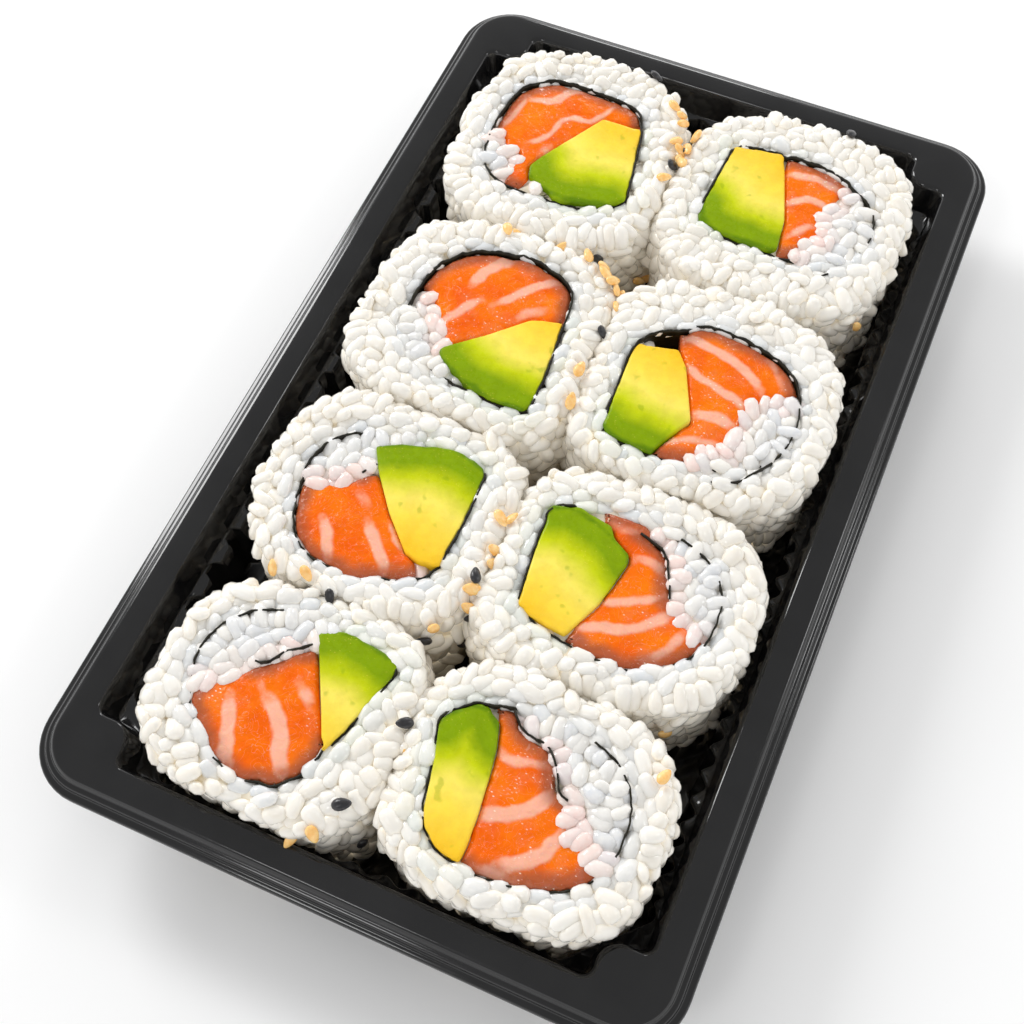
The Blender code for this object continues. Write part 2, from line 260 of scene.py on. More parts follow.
def add_node(tree: bpy.types.NodeTree, kind: str, inputs: dict, **settings: object) -> bpy.types.Node:
    """Add a node, set its properties, and set or link its inputs.

    Args:
        tree: The node tree.
        kind: The node's type name.
        inputs: Socket name or number to a value, or to the output socket that feeds it.
        settings: Properties of the node itself.

    Returns:
        The new node.
    """
    node = tree.nodes.new(kind)
    for key, value in settings.items():
        setattr(node, key, value)
    for socket, value in inputs.items():
        if isinstance(value, bpy.types.NodeSocket):
            tree.links.new(value, node.inputs[socket])
        else:
            node.inputs[socket].default_value = value
    return node


def colour(red: float, green: float, blue: float) -> tuple[float, float, float, float]:
    """A linear colour with full alpha."""
    return (red, green, blue, 1.0)


def new_material(name: str) -> tuple[bpy.types.Material, bpy.types.NodeTree, bpy.types.Node]:
    """Make a material and hand back its node tree and its Principled shader."""
    material = bpy.data.materials.new(name)
    material.use_nodes = True
    tree = material.node_tree
    return material, tree, tree.nodes["Principled BSDF"]


def mix_colours(tree: bpy.types.NodeTree, share: object, first: object, second: object) -> bpy.types.NodeSocket:
    """Mix two colours by a share, each a value or an output socket, and return the mixed colour's socket."""
    node = add_node(tree, "ShaderNodeMix", {}, data_type="RGBA")
    for place, value in ((0, share), (6, first), (7, second)):
        if isinstance(value, bpy.types.NodeSocket):
            tree.links.new(value, node.inputs[place])
        else:
            node.inputs[place].default_value = value
    return node.outputs[2]


def math_node(tree: bpy.types.NodeTree, operation: str, *values: object) -> bpy.types.NodeSocket:
    """Add a Math node on up to three values or sockets, and return its result."""
    return add_node(tree, "ShaderNodeMath", dict(enumerate(values)), operation=operation).outputs[0]


def soft_step(tree: bpy.types.NodeTree, value: object, low: float, high: float,
              start: float = 0.0, end: float = 1.0) -> bpy.types.NodeSocket:
    """Turn a value smoothly from start to end as it goes from low to high."""
    inputs = {"Value": value, "From Min": low, "From Max": high, "To Min": start, "To Max": end}
    node = add_node(tree, "ShaderNodeMapRange", inputs, interpolation_type="SMOOTHSTEP")
    return node.outputs["Result"]


def mottle_group() -> bpy.types.NodeTree:
    """The shared unevenness: cloudy noise on object coordinates, as a mask and as a mix of two colours."""
    name = "mottle"
    if name in bpy.data.node_groups:
        return bpy.data.node_groups[name]
    group = bpy.data.node_groups.new(name, "ShaderNodeTree")
    face = group.interface
    face.new_socket("Scale", in_out="INPUT", socket_type="NodeSocketFloat").default_value = 200.0
    face.new_socket("Detail", in_out="INPUT", socket_type="NodeSocketFloat").default_value = 4.0
    face.new_socket("Colour A", in_out="INPUT", socket_type="NodeSocketColor")
    face.new_socket("Colour B", in_out="INPUT", socket_type="NodeSocketColor")
    face.new_socket("Colour", in_out="OUTPUT", socket_type="NodeSocketColor")
    face.new_socket("Mask", in_out="OUTPUT", socket_type="NodeSocketFloat")
    entry = group.nodes.new("NodeGroupInput")
    place = group.nodes.new("ShaderNodeTexCoord")
    clouds = add_node(group, "ShaderNodeTexNoise", {
        "Vector": place.outputs["Object"], "Scale": entry.outputs["Scale"], "Detail": entry.outputs["Detail"],
    })
    mask = add_node(group, "ShaderNodeMapRange", {
        "Value": clouds.outputs["Fac"], "From Min": 0.32, "From Max": 0.68,
    })
    mixed = mix_colours(group, mask.outputs["Result"], entry.outputs["Colour A"], entry.outputs["Colour B"])
    add_node(group, "NodeGroupOutput", {"Colour": mixed, "Mask": mask.outputs["Result"]})
    return group


def add_mottle(tree: bpy.types.NodeTree, scale: float, detail: float, first: object, second: object) -> bpy.types.Node:
    """Place the shared unevenness in a material.

    Args:
        tree: The material's node tree.
        scale: Clouds per metre.
        detail: Octaves of finer clouds.
        first: The colour, or its socket, where the mask is 0.
        second: The colour, or its socket, where the mask is 1.

    Returns:
        The group node, with outputs Colour and Mask.
    """
    inputs = {"Scale": scale, "Detail": detail, "Colour A": first, "Colour B": second}
    node = tree.nodes.new("ShaderNodeGroup")
    node.node_tree = mottle_group()
    for socket, value in inputs.items():
        if isinstance(value, bpy.types.NodeSocket):
            tree.links.new(value, node.inputs[socket])
        else:
            node.inputs[socket].default_value = value
    return node


def add_bump(tree: bpy.types.NodeTree, shader: bpy.types.Node, height: bpy.types.NodeSocket, strength: float,
             distance: float) -> None:
    """Let a height in 0 to 1 raise the surface by up to a distance in millimetres."""
    bump = add_node(tree, "ShaderNodeBump", {"Height": height, "Strength": strength, "Distance": distance * MM})
    tree.links.new(bump.outputs["Normal"], shader.inputs["Normal"])


def set_inner_light(shader: bpy.types.Node, weight: float, depth: float, spread: tuple[float, float, float]) -> None:
    """Let light spread below the surface, to a depth in millimetres and by colour."""
    shader.inputs["Subsurface Weight"].default_value = weight
    shader.inputs["Subsurface Scale"].default_value = depth * MM
    shader.inputs["Subsurface Radius"].default_value = spread


def painted_glint_group() -> bpy.types.NodeTree:
    """The shared painted glints: small bright dots on cut food that stand in for highlights, gathered where a cloudy
    noise is high.
    """
    name = "moisture_specks"
    if name in bpy.data.node_groups:
        return bpy.data.node_groups[name]
    group = bpy.data.node_groups.new(name, "ShaderNodeTree")
    face = group.interface
    face.new_socket("Pitch", in_out="INPUT", socket_type="NodeSocketFloat").default_value = 1000.0
    face.new_socket("Dot Size", in_out="INPUT", socket_type="NodeSocketFloat").default_value = 0.2
    face.new_socket("Dots", in_out="OUTPUT", socket_type="NodeSocketFloat")
    face.new_socket("Wet", in_out="OUTPUT", socket_type="NodeSocketFloat")
    entry = group.nodes.new("NodeGroupInput")
    place = group.nodes.new("ShaderNodeTexCoord").outputs["Object"]
    stretched = add_node(group, "ShaderNodeMapping", {
        "Vector": place, "Rotation": (0.0, 0.0, 0.7), "Scale": (0.75, 1.3, 1.0),
    })
    clouds = add_node(group, "ShaderNodeTexNoise", {"Vector": place, "Scale": 300.0, "Detail": 3.0})
    wet = soft_step(group, clouds.outputs["Fac"], 0.46, 0.58)
    cells = add_node(group, "ShaderNodeTexVoronoi", {
        "Vector": stretched.outputs["Vector"], "Scale": entry.outputs["Pitch"], "Randomness": 1.0,
    })
    # Painted highlight: each dot is a bright glint painted into the base colour, not a reflection of a lamp.
    dot = soft_step(group, cells.outputs["Distance"], 0.05, entry.outputs["Dot Size"], 1.0, 0.0)
    add_node(group, "NodeGroupOutput", {"Dots": math_node(group, "MULTIPLY", dot, wet), "Wet": wet})
    return group


def add_painted_glints(tree: bpy.types.NodeTree, pitch: float, size: float) -> bpy.types.Node:
    """Place the shared painted glints in a material.

    Args:
        tree: The material's node tree.
        pitch: Dots per metre.
        size: The size of a dot, as a share of the space between dots.

    Returns:
        The group node, with outputs Dots and Wet.
    """
    node = tree.nodes.new("ShaderNodeGroup")
    node.node_tree = painted_glint_group()
    node.inputs["Pitch"].default_value = pitch
    node.inputs["Dot Size"].default_value = size
    return node


@dataclass(frozen=True)
class TrayFinish:
    """Black formed plastic: satin on the rim and glossy below it."""

    black: tuple = colour(0.0045, 0.0045, 0.005)
    worn_black: tuple = colour(0.008, 0.008, 0.0085)
    rim_roughness: float = 0.09
    wall_roughness: float = 0.07

    def make(self, rim_top: float) -> bpy.types.Material:
        """Build the material for a tray whose rim is at a height in millimetres."""
        material, tree, shader = new_material("tray_plastic")
        mottle = add_mottle(tree, 90.0, 5.0, self.black, self.worn_black)
        tree.links.new(mottle.outputs["Colour"], shader.inputs["Base Color"])
        place = tree.nodes.new("ShaderNodeTexCoord")
        split = add_node(tree, "ShaderNodeSeparateXYZ", {"Vector": place.outputs["Object"]})
        gloss = soft_step(tree, split.outputs["Z"], (rim_top - 1.2) * MM, (rim_top - 0.25) * MM,
                          self.wall_roughness, self.rim_roughness)
        uneven = math_node(tree, "MULTIPLY_ADD", mottle.outputs["Mask"], 0.05, gloss)
        tree.links.new(uneven, shader.inputs["Roughness"])
        shader.inputs["Specular IOR Level"].default_value = 0.46
        skin = add_node(tree, "ShaderNodeTexNoise", {"Vector": place.outputs["Object"], "Scale": 900.0, "Detail": 3.0})
        add_bump(tree, shader, skin.outputs["Fac"], 0.3, 0.012)
        return material


@dataclass(frozen=True)
class RiceFinish:
    """Moist cooked rice.

    Each grain's own tint is in the attribute TINT, with painted shade in its creases. Its alpha says how deep in a
    crease a place lies, and drives a painted glow there that stands in for light coming through the grains around.
    """

    roughness: float = 0.17
    wet_roughness: float = 0.05
    milk: tuple = colour(0.92, 0.90, 0.85)
    painted_crease_glow: tuple = colour(1.0, 0.90, 0.72)

    def make(self) -> bpy.types.Material:
        """Build the material of the grains."""
        material, tree, shader = new_material("cooked_rice")
        metres = tree.nodes.new("ShaderNodeTexCoord").outputs["Object"]
        tint = add_node(tree, "ShaderNodeAttribute", {}, attribute_name=TINT)
        milky = mix_colours(tree, 0.4, tint.outputs["Color"], self.milk)
        mottle = add_mottle(tree, 650.0, 2.0, tint.outputs["Color"], milky)
        tree.links.new(mottle.outputs["Colour"], shader.inputs["Base Color"])
        # Painted glow: the emission brightens the creases as if light came through the grains around.
        inner = mix_colours(tree, tint.outputs["Alpha"], colour(0.0, 0.0, 0.0), self.painted_crease_glow)
        tree.links.new(inner, shader.inputs["Emission Color"])
        shader.inputs["Emission Strength"].default_value = 0.23
        wet = soft_step(tree, mottle.outputs["Mask"], 0.0, 1.0, self.wet_roughness, self.roughness)
        tree.links.new(wet, shader.inputs["Roughness"])
        shader.inputs["IOR"].default_value = 1.46
        set_inner_light(shader, 0.12, 1.2, (1.0, 0.92, 0.80))
        skin = add_node(tree, "ShaderNodeTexNoise", {"Vector": metres, "Scale": 1200.0, "Detail": 3.0})
        add_bump(tree, shader, skin.outputs["Fac"], 0.4, 0.06)
        return material


@dataclass(frozen=True)
class CoreRiceFinish:
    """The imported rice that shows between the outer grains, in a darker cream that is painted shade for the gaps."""

    # Painted shade: the core shows only in the gaps between grains, so its darker cream stands in for the shade there.
    cream: tuple = colour(0.84, 0.73, 0.55)
    pale: tuple = colour(0.92, 0.87, 0.76)

    def make(self) -> bpy.types.Material:
        """Build the material of the cores."""
        material, tree, shader = new_material("packed_rice")
        mottle = add_mottle(tree, 260.0, 3.0, self.cream, self.pale)
        tree.links.new(mottle.outputs["Colour"], shader.inputs["Base Color"])
        shader.inputs["Roughness"].default_value = 0.4
        set_inner_light(shader, 0.12, 1.2, (1.0, 0.88, 0.70))
        add_bump(tree, shader, mottle.outputs["Mask"], 0.8, 0.4)
        return material


@dataclass(frozen=True)
class NoriFinish:
    """A damp sheet of pressed seaweed."""

    dark: tuple = colour(0.006, 0.005, 0.003)
    green: tuple = colour(0.022, 0.020, 0.010)

    def make(self) -> bpy.types.Material:
        """Build the seaweed's material."""
        material, tree, shader = new_material("nori")
        mottle = add_mottle(tree, 600.0, 6.0, self.dark, self.green)
        tree.links.new(mottle.outputs["Colour"], shader.inputs["Base Color"])
        shader.inputs["Roughness"].default_value = 0.42
        shader.inputs["Specular IOR Level"].default_value = 0.22
        add_bump(tree, shader, mottle.outputs["Mask"], 0.7, 0.15)
        return material


@dataclass(frozen=True)
class SalmonFinish:
    """Raw salmon. The attribute PATTERN holds the share of fat in red and the share of rim in green."""

    gold: tuple = colour(0.97, 0.205, 0.001)
    flesh: tuple = colour(0.85, 0.118, 0.001)
    rust: tuple = colour(0.40, 0.100, 0.042)
    fat: tuple = colour(0.93, 0.47, 0.33)
    grey_fat: tuple = colour(0.58, 0.28, 0.20)
    # The colour of the painted glints.
    painted_glint: tuple = colour(1.0, 0.86, 0.72)

    def make(self) -> bpy.types.Material:
        """Build the material of the salmon."""
        material, tree, shader = new_material("salmon_flesh")
        metres = tree.nodes.new("ShaderNodeTexCoord").outputs["Object"]
        pattern = add_node(tree, "ShaderNodeAttribute", {}, attribute_name=PATTERN)
        shares = add_node(tree, "ShaderNodeSeparateColor", {"Color": pattern.outputs["Color"]})
        fray = add_node(tree, "ShaderNodeTexNoise", {"Vector": metres, "Scale": 420.0, "Detail": 5.0})
        frayed = math_node(tree, "MULTIPLY_ADD", fray.outputs["Fac"], 0.7, shares.outputs["Red"])
        line = soft_step(tree, frayed, 0.50, 1.20, 0.0, 0.95)
        clouds = add_mottle(tree, 120.0, 4.0, self.flesh, self.gold)
        drift = add_node(tree, "ShaderNodeTexNoise", {"Vector": metres, "Scale": 110.0, "Detail": 3.0})
        worn = math_node(tree, "MULTIPLY_ADD", drift.outputs["Fac"], 0.9, shares.outputs["Green"])
        rim = soft_step(tree, worn, 0.62, 1.35, 0.0, 0.90)
        flesh = mix_colours(tree, rim, clouds.outputs["Colour"], self.rust)
        fat = mix_colours(tree, rim, self.fat, self.grey_fat)
        threads = add_node(tree, "ShaderNodeTexNoise", {
            "Vector": metres, "Scale": 240.0, "Detail": 1.0, "Distortion": 3.0,
        })
        vein = math_node(tree, "ABSOLUTE", math_node(tree, "SUBTRACT", threads.outputs["Fac"], 0.5))
        thread = soft_step(tree, vein, 0.0, 0.012, 0.42, 0.0)
        veined = mix_colours(tree, thread, flesh, fat)
        striped = mix_colours(tree, line, veined, fat)
        # Painted highlights: bright glint dots mixed into the base colour where the flesh is wet. The same wet mask
        # also sets the real coat.
        wet_glints = add_painted_glints(tree, 1150.0, 0.25)
        wet_and_glint_mask = soft_step(tree, drift.outputs["Fac"], 0.44, 0.58, 0.1, 1.0)
        glint_dots = math_node(tree, "MULTIPLY", wet_glints.outputs["Dots"], wet_and_glint_mask)
        glinted = mix_colours(tree, glint_dots, striped, self.painted_glint)
        tree.links.new(glinted, shader.inputs["Base Color"])
        grain = add_node(tree, "ShaderNodeTexNoise", {"Vector": metres, "Scale": 900.0, "Detail": 2.0})
        tree.links.new(math_node(tree, "MULTIPLY", wet_glints.outputs["Wet"], wet_and_glint_mask), shader.inputs["Coat Weight"])
        shader.inputs["Coat Roughness"].default_value = 0.06
        shader.inputs["Roughness"].default_value = 0.22
        shader.inputs["Specular IOR Level"].default_value = 0.14
        set_inner_light(shader, 0.3, 0.8, (1.0, 0.25, 0.05))
        bumps = math_node(tree, "MULTIPLY_ADD", line, 0.3, grain.outputs["Fac"])
        add_bump(tree, shader, bumps, 1.0, 0.26)
        return material


@dataclass(frozen=True)
class AvocadoFinish:
    """Ripe avocado: green by the skin and yellow by the stone.

    The attribute PATTERN holds the distance from the skin in red, as a share of the reach.
    """

    reach: float = 24.0
    edge: tuple = colour(0.12, 0.23, 0.001)
    green: tuple = colour(0.225, 0.350, 0.001)
    lime: tuple = colour(0.56, 0.62, 0.006)
    pale: tuple = colour(0.93, 0.77, 0.125)
    yellow: tuple = colour(0.96, 0.71, 0.075)
    deep: tuple = colour(0.95, 0.56, 0.020)

    def make(self) -> bpy.types.Material:
        """Build the avocado's material."""
        material, tree, shader = new_material("avocado_flesh")
        metres = tree.nodes.new("ShaderNodeTexCoord").outputs["Object"]
        pattern = add_node(tree, "ShaderNodeAttribute", {}, attribute_name=PATTERN)
        shares = add_node(tree, "ShaderNodeSeparateColor", {"Color": pattern.outputs["Color"]})
        clouds = add_node(tree, "ShaderNodeTexNoise", {"Vector": metres, "Scale": 150.0, "Detail": 4.0})
        depth = math_node(tree, "MULTIPLY_ADD", clouds.outputs["Fac"], 0.14, shares.outputs["Red"])
        ramp = add_node(tree, "ShaderNodeValToRGB", {"Fac": math_node(tree, "SUBTRACT", depth, 0.07)})
        stops = ((0.0, self.edge), (0.035, self.green), (0.16, self.green), (0.31, self.lime),
                 (0.50, self.pale), (0.68, self.yellow), (1.0, self.deep))
        ramp.color_ramp.elements[0].position, ramp.color_ramp.elements[0].color = stops[0]
        ramp.color_ramp.elements[1].position, ramp.color_ramp.elements[1].color = stops[-1]
        for position, shade in stops[1:-1]:
            ramp.color_ramp.elements.new(position).color = shade
        spots = add_node(tree, "ShaderNodeTexNoise", {"Vector": metres, "Scale": 380.0, "Detail": 1.0})
        spot = soft_step(tree, spots.outputs["Fac"], 0.64, 0.76, 0.0, 0.4)
        spotted = mix_colours(tree, spot, ramp.outputs["Color"], self.green)
        fibre = add_node(tree, "ShaderNodeTexNoise", {"Vector": metres, "Scale": 420.0, "Detail": 5.0})
        shade = soft_step(tree, fibre.outputs["Fac"], 0.35, 0.65, 0.94, 1.03)
        flesh = add_node(tree, "ShaderNodeVectorMath", {0: spotted, "Scale": shade}, operation="SCALE")
        # Painted highlights: small glint dots mixed into the base colour in the pale yellow.
        wet_glints = math_node(tree, "MULTIPLY", add_painted_glints(tree, 1500.0, 0.2).outputs["Dots"], 0.5)
        tree.links.new(mix_colours(tree, wet_glints, flesh.outputs["Vector"], self.pale), shader.inputs["Base Color"])
        grain = add_node(tree, "ShaderNodeTexNoise", {"Vector": metres, "Scale": 1000.0, "Detail": 4.0})
        rough = soft_step(tree, grain.outputs["Fac"], 0.35, 0.70, 0.22, 0.42)
        tree.links.new(rough, shader.inputs["Roughness"])
        shader.inputs["Specular IOR Level"].default_value = 0.12
        set_inner_light(shader, 0.15, 0.5, (1.0, 0.8, 0.1))
        add_bump(tree, shader, grain.outputs["Fac"], 0.6, 0.08)
        return material


@dataclass(frozen=True)
class SeedFinish:
    """Roasted sesame of one colour."""

    name: str
    pale: tuple
    dark: tuple
    roughness: float

    def make(self) -> bpy.types.Material:
        """Build the seeds' material."""
        material, tree, shader = new_material(self.name)
        mottle = add_mottle(tree, 800.0, 3.0, self.pale, self.dark)
        tree.links.new(mottle.outputs["Colour"], shader.inputs["Base Color"])
        shader.inputs["Roughness"].default_value = self.roughness
        set_inner_light(shader, 0.15, 0.6, (1.0, 0.6, 0.3))
        add_bump(tree, shader, mottle.outputs["Mask"], 0.4, 0.08)
        return material


# ---------------------------------------------------------------------------------------------
# The rolls: what the CAD model says of each
# ---------------------------------------------------------------------------------------------


def round_corners(outline: np.ndarray, radius: float, steps: int = 4) -> np.ndarray:
    """Replace each corner of an outline by a short curve that starts and ends a radius away from it."""
    points = []
    for index, corner in enumerate(outline):
        before = outline[index - 1] - corner
        after = outline[(index + 1) % len(outline)] - corner
        start = corner + before * min(0.45, radius / np.linalg.norm(before))
        end = corner + after * min(0.45, radius / np.linalg.norm(after))
        for step in range(steps + 1):
            share = step / steps
            points.append(start * (1 - share) ** 2 + corner * 2 * share * (1 - share) + end * share ** 2)
    return np.array(points)


@dataclass(frozen=True)
class FatLine:
    """One line of fat in the salmon: the points it runs through, its width, and how strongly it shows."""

    points: tuple[Point, ...]
    width: float
    strength: float = 1.0


@dataclass(frozen=True)
class RollPlan:
    """What only one roll has. Places are in millimetres from the middle of its seaweed sheet.

    The fillings' outlines may reach past the seaweed, and are then drawn in to it. Bearings are in
    degrees, anticlockwise from the right. Strips are extra folds of seaweed, hollows are empty places in
    the inner rice (x, y, radius), and swells are how far the rice bulges at some bearings.
    """

    avocado: tuple[Point, ...]
    salmon: tuple[Point, ...]
    skin: tuple[Point, ...]
    fat_lines: tuple[FatLine, ...]
    buried: tuple[float, float] = (0.0, 0.0)
    strips: tuple[tuple[Point, ...], ...] = ()
    hollows: tuple[tuple[float, float, float], ...] = ()
    swells: tuple[Point, ...] = ((0.0, 0.0),)


@dataclass
class RollForm:
    """The outlines and heights of one roll, read from its CAD nodes and its plan."""

    name: str
    plan: RollPlan
    shoulder: float = 3.6
    clearance: float = 0.3
    bulge: float = 1.8
    sheet_room: float = 0.6
    outline_points: int = 240
    prefix: str = field(init=False)
    hole: np.ndarray = field(init=False)
    core: np.ndarray = field(init=False)
    avocado: np.ndarray = field(init=False)
    salmon: np.ndarray = field(init=False)
    strips: list[np.ndarray] = field(init=False)
    middle: np.ndarray = field(init=False)
    core_middle: np.ndarray = field(init=False)
    low: float = field(init=False)
    top: float = field(init=False)
    levels: list[float] = field(init=False)
    rings: list[tuple[np.ndarray, np.ndarray]] = field(init=False)

    def __post_init__(self) -> None:
        """Read the roll's nodes and lay out its fillings."""
        self.prefix = f"roll_{self.name}_"
        outer, hole = top_outlines(self.prefix + "rice")[:2]
        self.middle = outer.mean(axis=0)
        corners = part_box(self.prefix + "rice")
        self.low, self.top = corners[0].z / MM, corners[1].z / MM
        self.read_side(hole)
        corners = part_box(self.prefix + "nori")
        self.core_middle = np.array((corners[0] + corners[1]).to_2d()) / 2 / MM
        inside = even_outline(smooth_outline(top_outlines(self.prefix + "nori")[1], 2), self.outline_points)
        self.core = inside - outline_normals(inside) * self.clearance
        self.avocado = self.lay_out(self.plan.avocado, 0.55, 0.5)
        self.salmon = keep_outside(self.lay_out(self.plan.salmon, 1.6, 2.2), self.avocado, 0.10)
        self.strips = [open_curve(np.array(strip) + self.core_middle) for strip in self.plan.strips]
        hole = even_outline(smooth_outline(hole, 2), self.outline_points)
        for filling in (self.avocado, self.salmon):
            self.core = even_outline(keep_outside(self.core, filling, 0.12), self.outline_points)
            hole = even_outline(keep_outside(hole, filling, self.sheet_room), self.outline_points)
        self.hole = hole

    def lay_out(self, points: tuple[Point, ...], corner: float, reach: float) -> np.ndarray:
        """Place a filling's outline, round its corners and fit it to the seaweed.

        Args:
            points: The outline's corners, from the middle of the sheet.
            corner: How much its corners are rounded.
            reach: How far from the sheet its edge may lie and still be drawn to touch it.

        Returns:
            The anticlockwise outline.
        """
        outline = np.array(points) + self.core_middle
        if signed_area(outline) < 0:
            outline = outline[::-1]
        outline = even_outline(round_corners(outline, corner), self.outline_points)
        outline = keep_inside(outline, self.core, -self.bulge)
        distance, way = outline_distance(outline, self.core)
        near = np.clip((reach + 1.0 + distance) / 1.0, 0.0, 1.0)
        outline = outline + way * (np.maximum(0.0, -distance - 0.05) * near)[:, None]
        return even_outline(outline, self.outline_points)

    def is_buried(self, places: np.ndarray) -> np.ndarray:
        """How far the seaweed's upper edge lies below the rice at some places, from 0 to 1."""
        offset = places - self.core_middle
        bearing = np.degrees(np.arctan2(offset[:, 1], offset[:, 0])) % 360
        first, last = self.plan.buried
        return np.clip(np.minimum(bearing - first, last - bearing) / 6.0, 0.0, 1.0)

    def pocket_room(self, places: np.ndarray) -> np.ndarray:
        """How far places lie clear of the seaweed, the fillings and the hollows, negative when inside one."""
        room = np.minimum(-outline_distance(places, self.core)[0], outline_distance(places, self.avocado)[0])
        room = np.minimum(room, outline_distance(places, self.salmon)[0])
        for x, y, radius in self.plan.hollows:
            away = np.hypot(*(places - self.core_middle - (x, y)).T) - radius
            room = np.minimum(room, away)
        return room

    def clear_hollows(self, places: np.ndarray) -> np.ndarray:
        """Move places out of the hollows."""
        for x, y, radius in self.plan.hollows:
            offset = places - self.core_middle - (x, y)
            away = np.maximum(np.hypot(*offset.T), 1e-6)
            places = places + offset / away[:, None] * np.maximum(0.0, radius + 1.2 - away)[:, None]
        return places

    def read_side(self, hole: np.ndarray) -> None:
        """Read the ring of points at each height of the outer side, below the shoulder."""
        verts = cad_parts[self.prefix + "rice"].data.vertices
        points = np.round(np.array([vert.co for vert in verts]) / MM, 3)
        points = np.unique(points, axis=0)
        points = points[outline_distance(points[:, :2], hole)[0] > 0.1]
        self.levels = []
        self.rings = []
        for level in np.unique(np.round(points[:, 2], 1)):
            if level > self.top - 0.5:
                continue
            ring = points[np.abs(points[:, 2] - level) < 0.2][:, :2] - self.middle
            angles = np.arctan2(ring[:, 1], ring[:, 0])
            order = np.argsort(angles)
            self.levels.append(float(level))
            self.rings.append((angles[order], np.hypot(*ring[order].T)))

    def edge_radius(self, angle: np.ndarray, height: np.ndarray) -> np.ndarray:
        """How far the outer side lies from the roll's middle, by direction and height."""
        radii = np.stack([np.interp(angle, known, radius, period=TAU) for known, radius in self.rings])
        place = np.interp(height, self.levels, np.arange(len(self.levels)))
        low = np.minimum(place.astype(int), len(self.levels) - 2)
        share = place - low
        columns = np.arange(len(angle))
        bearings, extra = np.array(self.plan.swells).T
        swell = np.interp(np.degrees(angle) % 360, bearings, extra, period=360)
        swell *= np.clip((self.top - height) / 9.0, 0.35, 1.0)
        return radii[low, columns] * (1 - share) + radii[low + 1, columns] * share + swell

    def surface(self, points: np.ndarray) -> tuple[np.ndarray, np.ndarray]:
        """How far points lie outside the roll's rounded outside, and the outward direction.

        Args:
            points: Points in space.

        Returns:
            The distance of each point, negative inside, and the unit normals.
        """
        offset = points[:, :2] - self.middle
        radial = np.maximum(np.hypot(*offset.T), 1e-6)
        way = offset / radial[:, None]
        edge = self.edge_radius(np.arctan2(offset[:, 1], offset[:, 0]), points[:, 2])
        across = radial - edge + self.shoulder
        above = points[:, 2] - self.top + self.shoulder
        corner = np.hypot(np.maximum(across, 0), np.maximum(above, 0))
        distance = np.where((across > 0) | (above > 0), corner, np.maximum(across, above)) - self.shoulder
        lean_out = np.where(across > 0, across, np.where(above > across, 0.0, 1.0))
        lean_up = np.where(above > 0, above, np.where(above > across, 1.0, 0.0))
        size = np.maximum(np.hypot(lean_out, lean_up), 1e-6)
        normal = np.column_stack((way * (lean_out / size)[:, None], lean_up / size))
        return distance, normal

    def outer_point(self, angle: np.ndarray, height: float) -> np.ndarray:
        """Points of the outer side at some directions and one height."""
        radius = self.edge_radius(angle, np.full(len(angle), height))
        return self.middle + np.column_stack((np.cos(angle), np.sin(angle))) * radius[:, None]

    def filling_top(self, kind: str) -> float:
        """The height of one filling's top."""
        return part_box(self.prefix + kind)[1].z / MM


# ---------------------------------------------------------------------------------------------
# Rice
# ---------------------------------------------------------------------------------------------


@dataclass(frozen=True)
class GrainShape:
    """One form of grain: its length, width and thickness, its bend, and how much one end tapers."""

    length: float
    width: float
    thickness: float
    bend: float
    taper: float

    def make(self, around: int = 8, along: int = 6) -> tuple[np.ndarray, np.ndarray]:
        """Model the grain along X about the origin.

        Args:
            around: Sides of its cross-section.
            along: Steps from end to end.

        Returns:
            Its points, and its triangles as point numbers.
        """
        shape = bmesh.new()
        bmesh.ops.create_uvsphere(shape, u_segments=around, v_segments=along, radius=1.0)
        bmesh.ops.rotate(shape, verts=shape.verts, matrix=Matrix.Rotation(math.pi / 2, 3, "Y"))
        for vert in shape.verts:
            end = vert.co.x
            plump = (1 - abs(end) ** 2.7) ** (1 / 2.7) / max(math.sqrt(1 - min(end * end, 0.999)), 0.05)
            girth = min(plump, 1.6) * (1 + self.taper * end)
            uneven = 1 + 0.10 * noise.noise(Vector(vert.co) * 1.3 + Vector((self.length, self.bend, 0)))
            vert.co.y *= self.width / 2 * girth * uneven
            vert.co.z = vert.co.z * self.thickness / 2 * girth * uneven + self.bend * (0.4 - end * end)
            vert.co.x *= self.length / 2 * uneven
        bmesh.ops.triangulate(shape, faces=shape.faces)
        bmesh.ops.recalc_face_normals(shape, faces=shape.faces)
        shape.verts.index_update()
        points = np.array([vert.co for vert in shape.verts])
        faces = np.array([[vert.index for vert in face.verts] for face in shape.faces])
        shape.free()
        return points, faces


GRAIN_SHAPES = (
    GrainShape(6.0, 3.7, 2.60, 0.22, 0.06),
    GrainShape(5.4, 3.8, 2.65, 0.10, -0.08),
    GrainShape(6.5, 3.5, 2.50, 0.35, 0.10),
    GrainShape(4.9, 3.7, 2.60, 0.05, 0.12),
    GrainShape(5.8, 3.3, 2.50, -0.25, 0.0),
    GrainShape(4.1, 3.7, 2.70, 0.0, 0.05),
)
# Painted shade: the lower side of each grain is tinted towards this darker cream, as if shaded in the creases between
# grains.
PAINTED_CREASE_SHADE = np.array((0.94, 0.87, 0.73))
PAINTED_CREASE_SHARE = 0.7


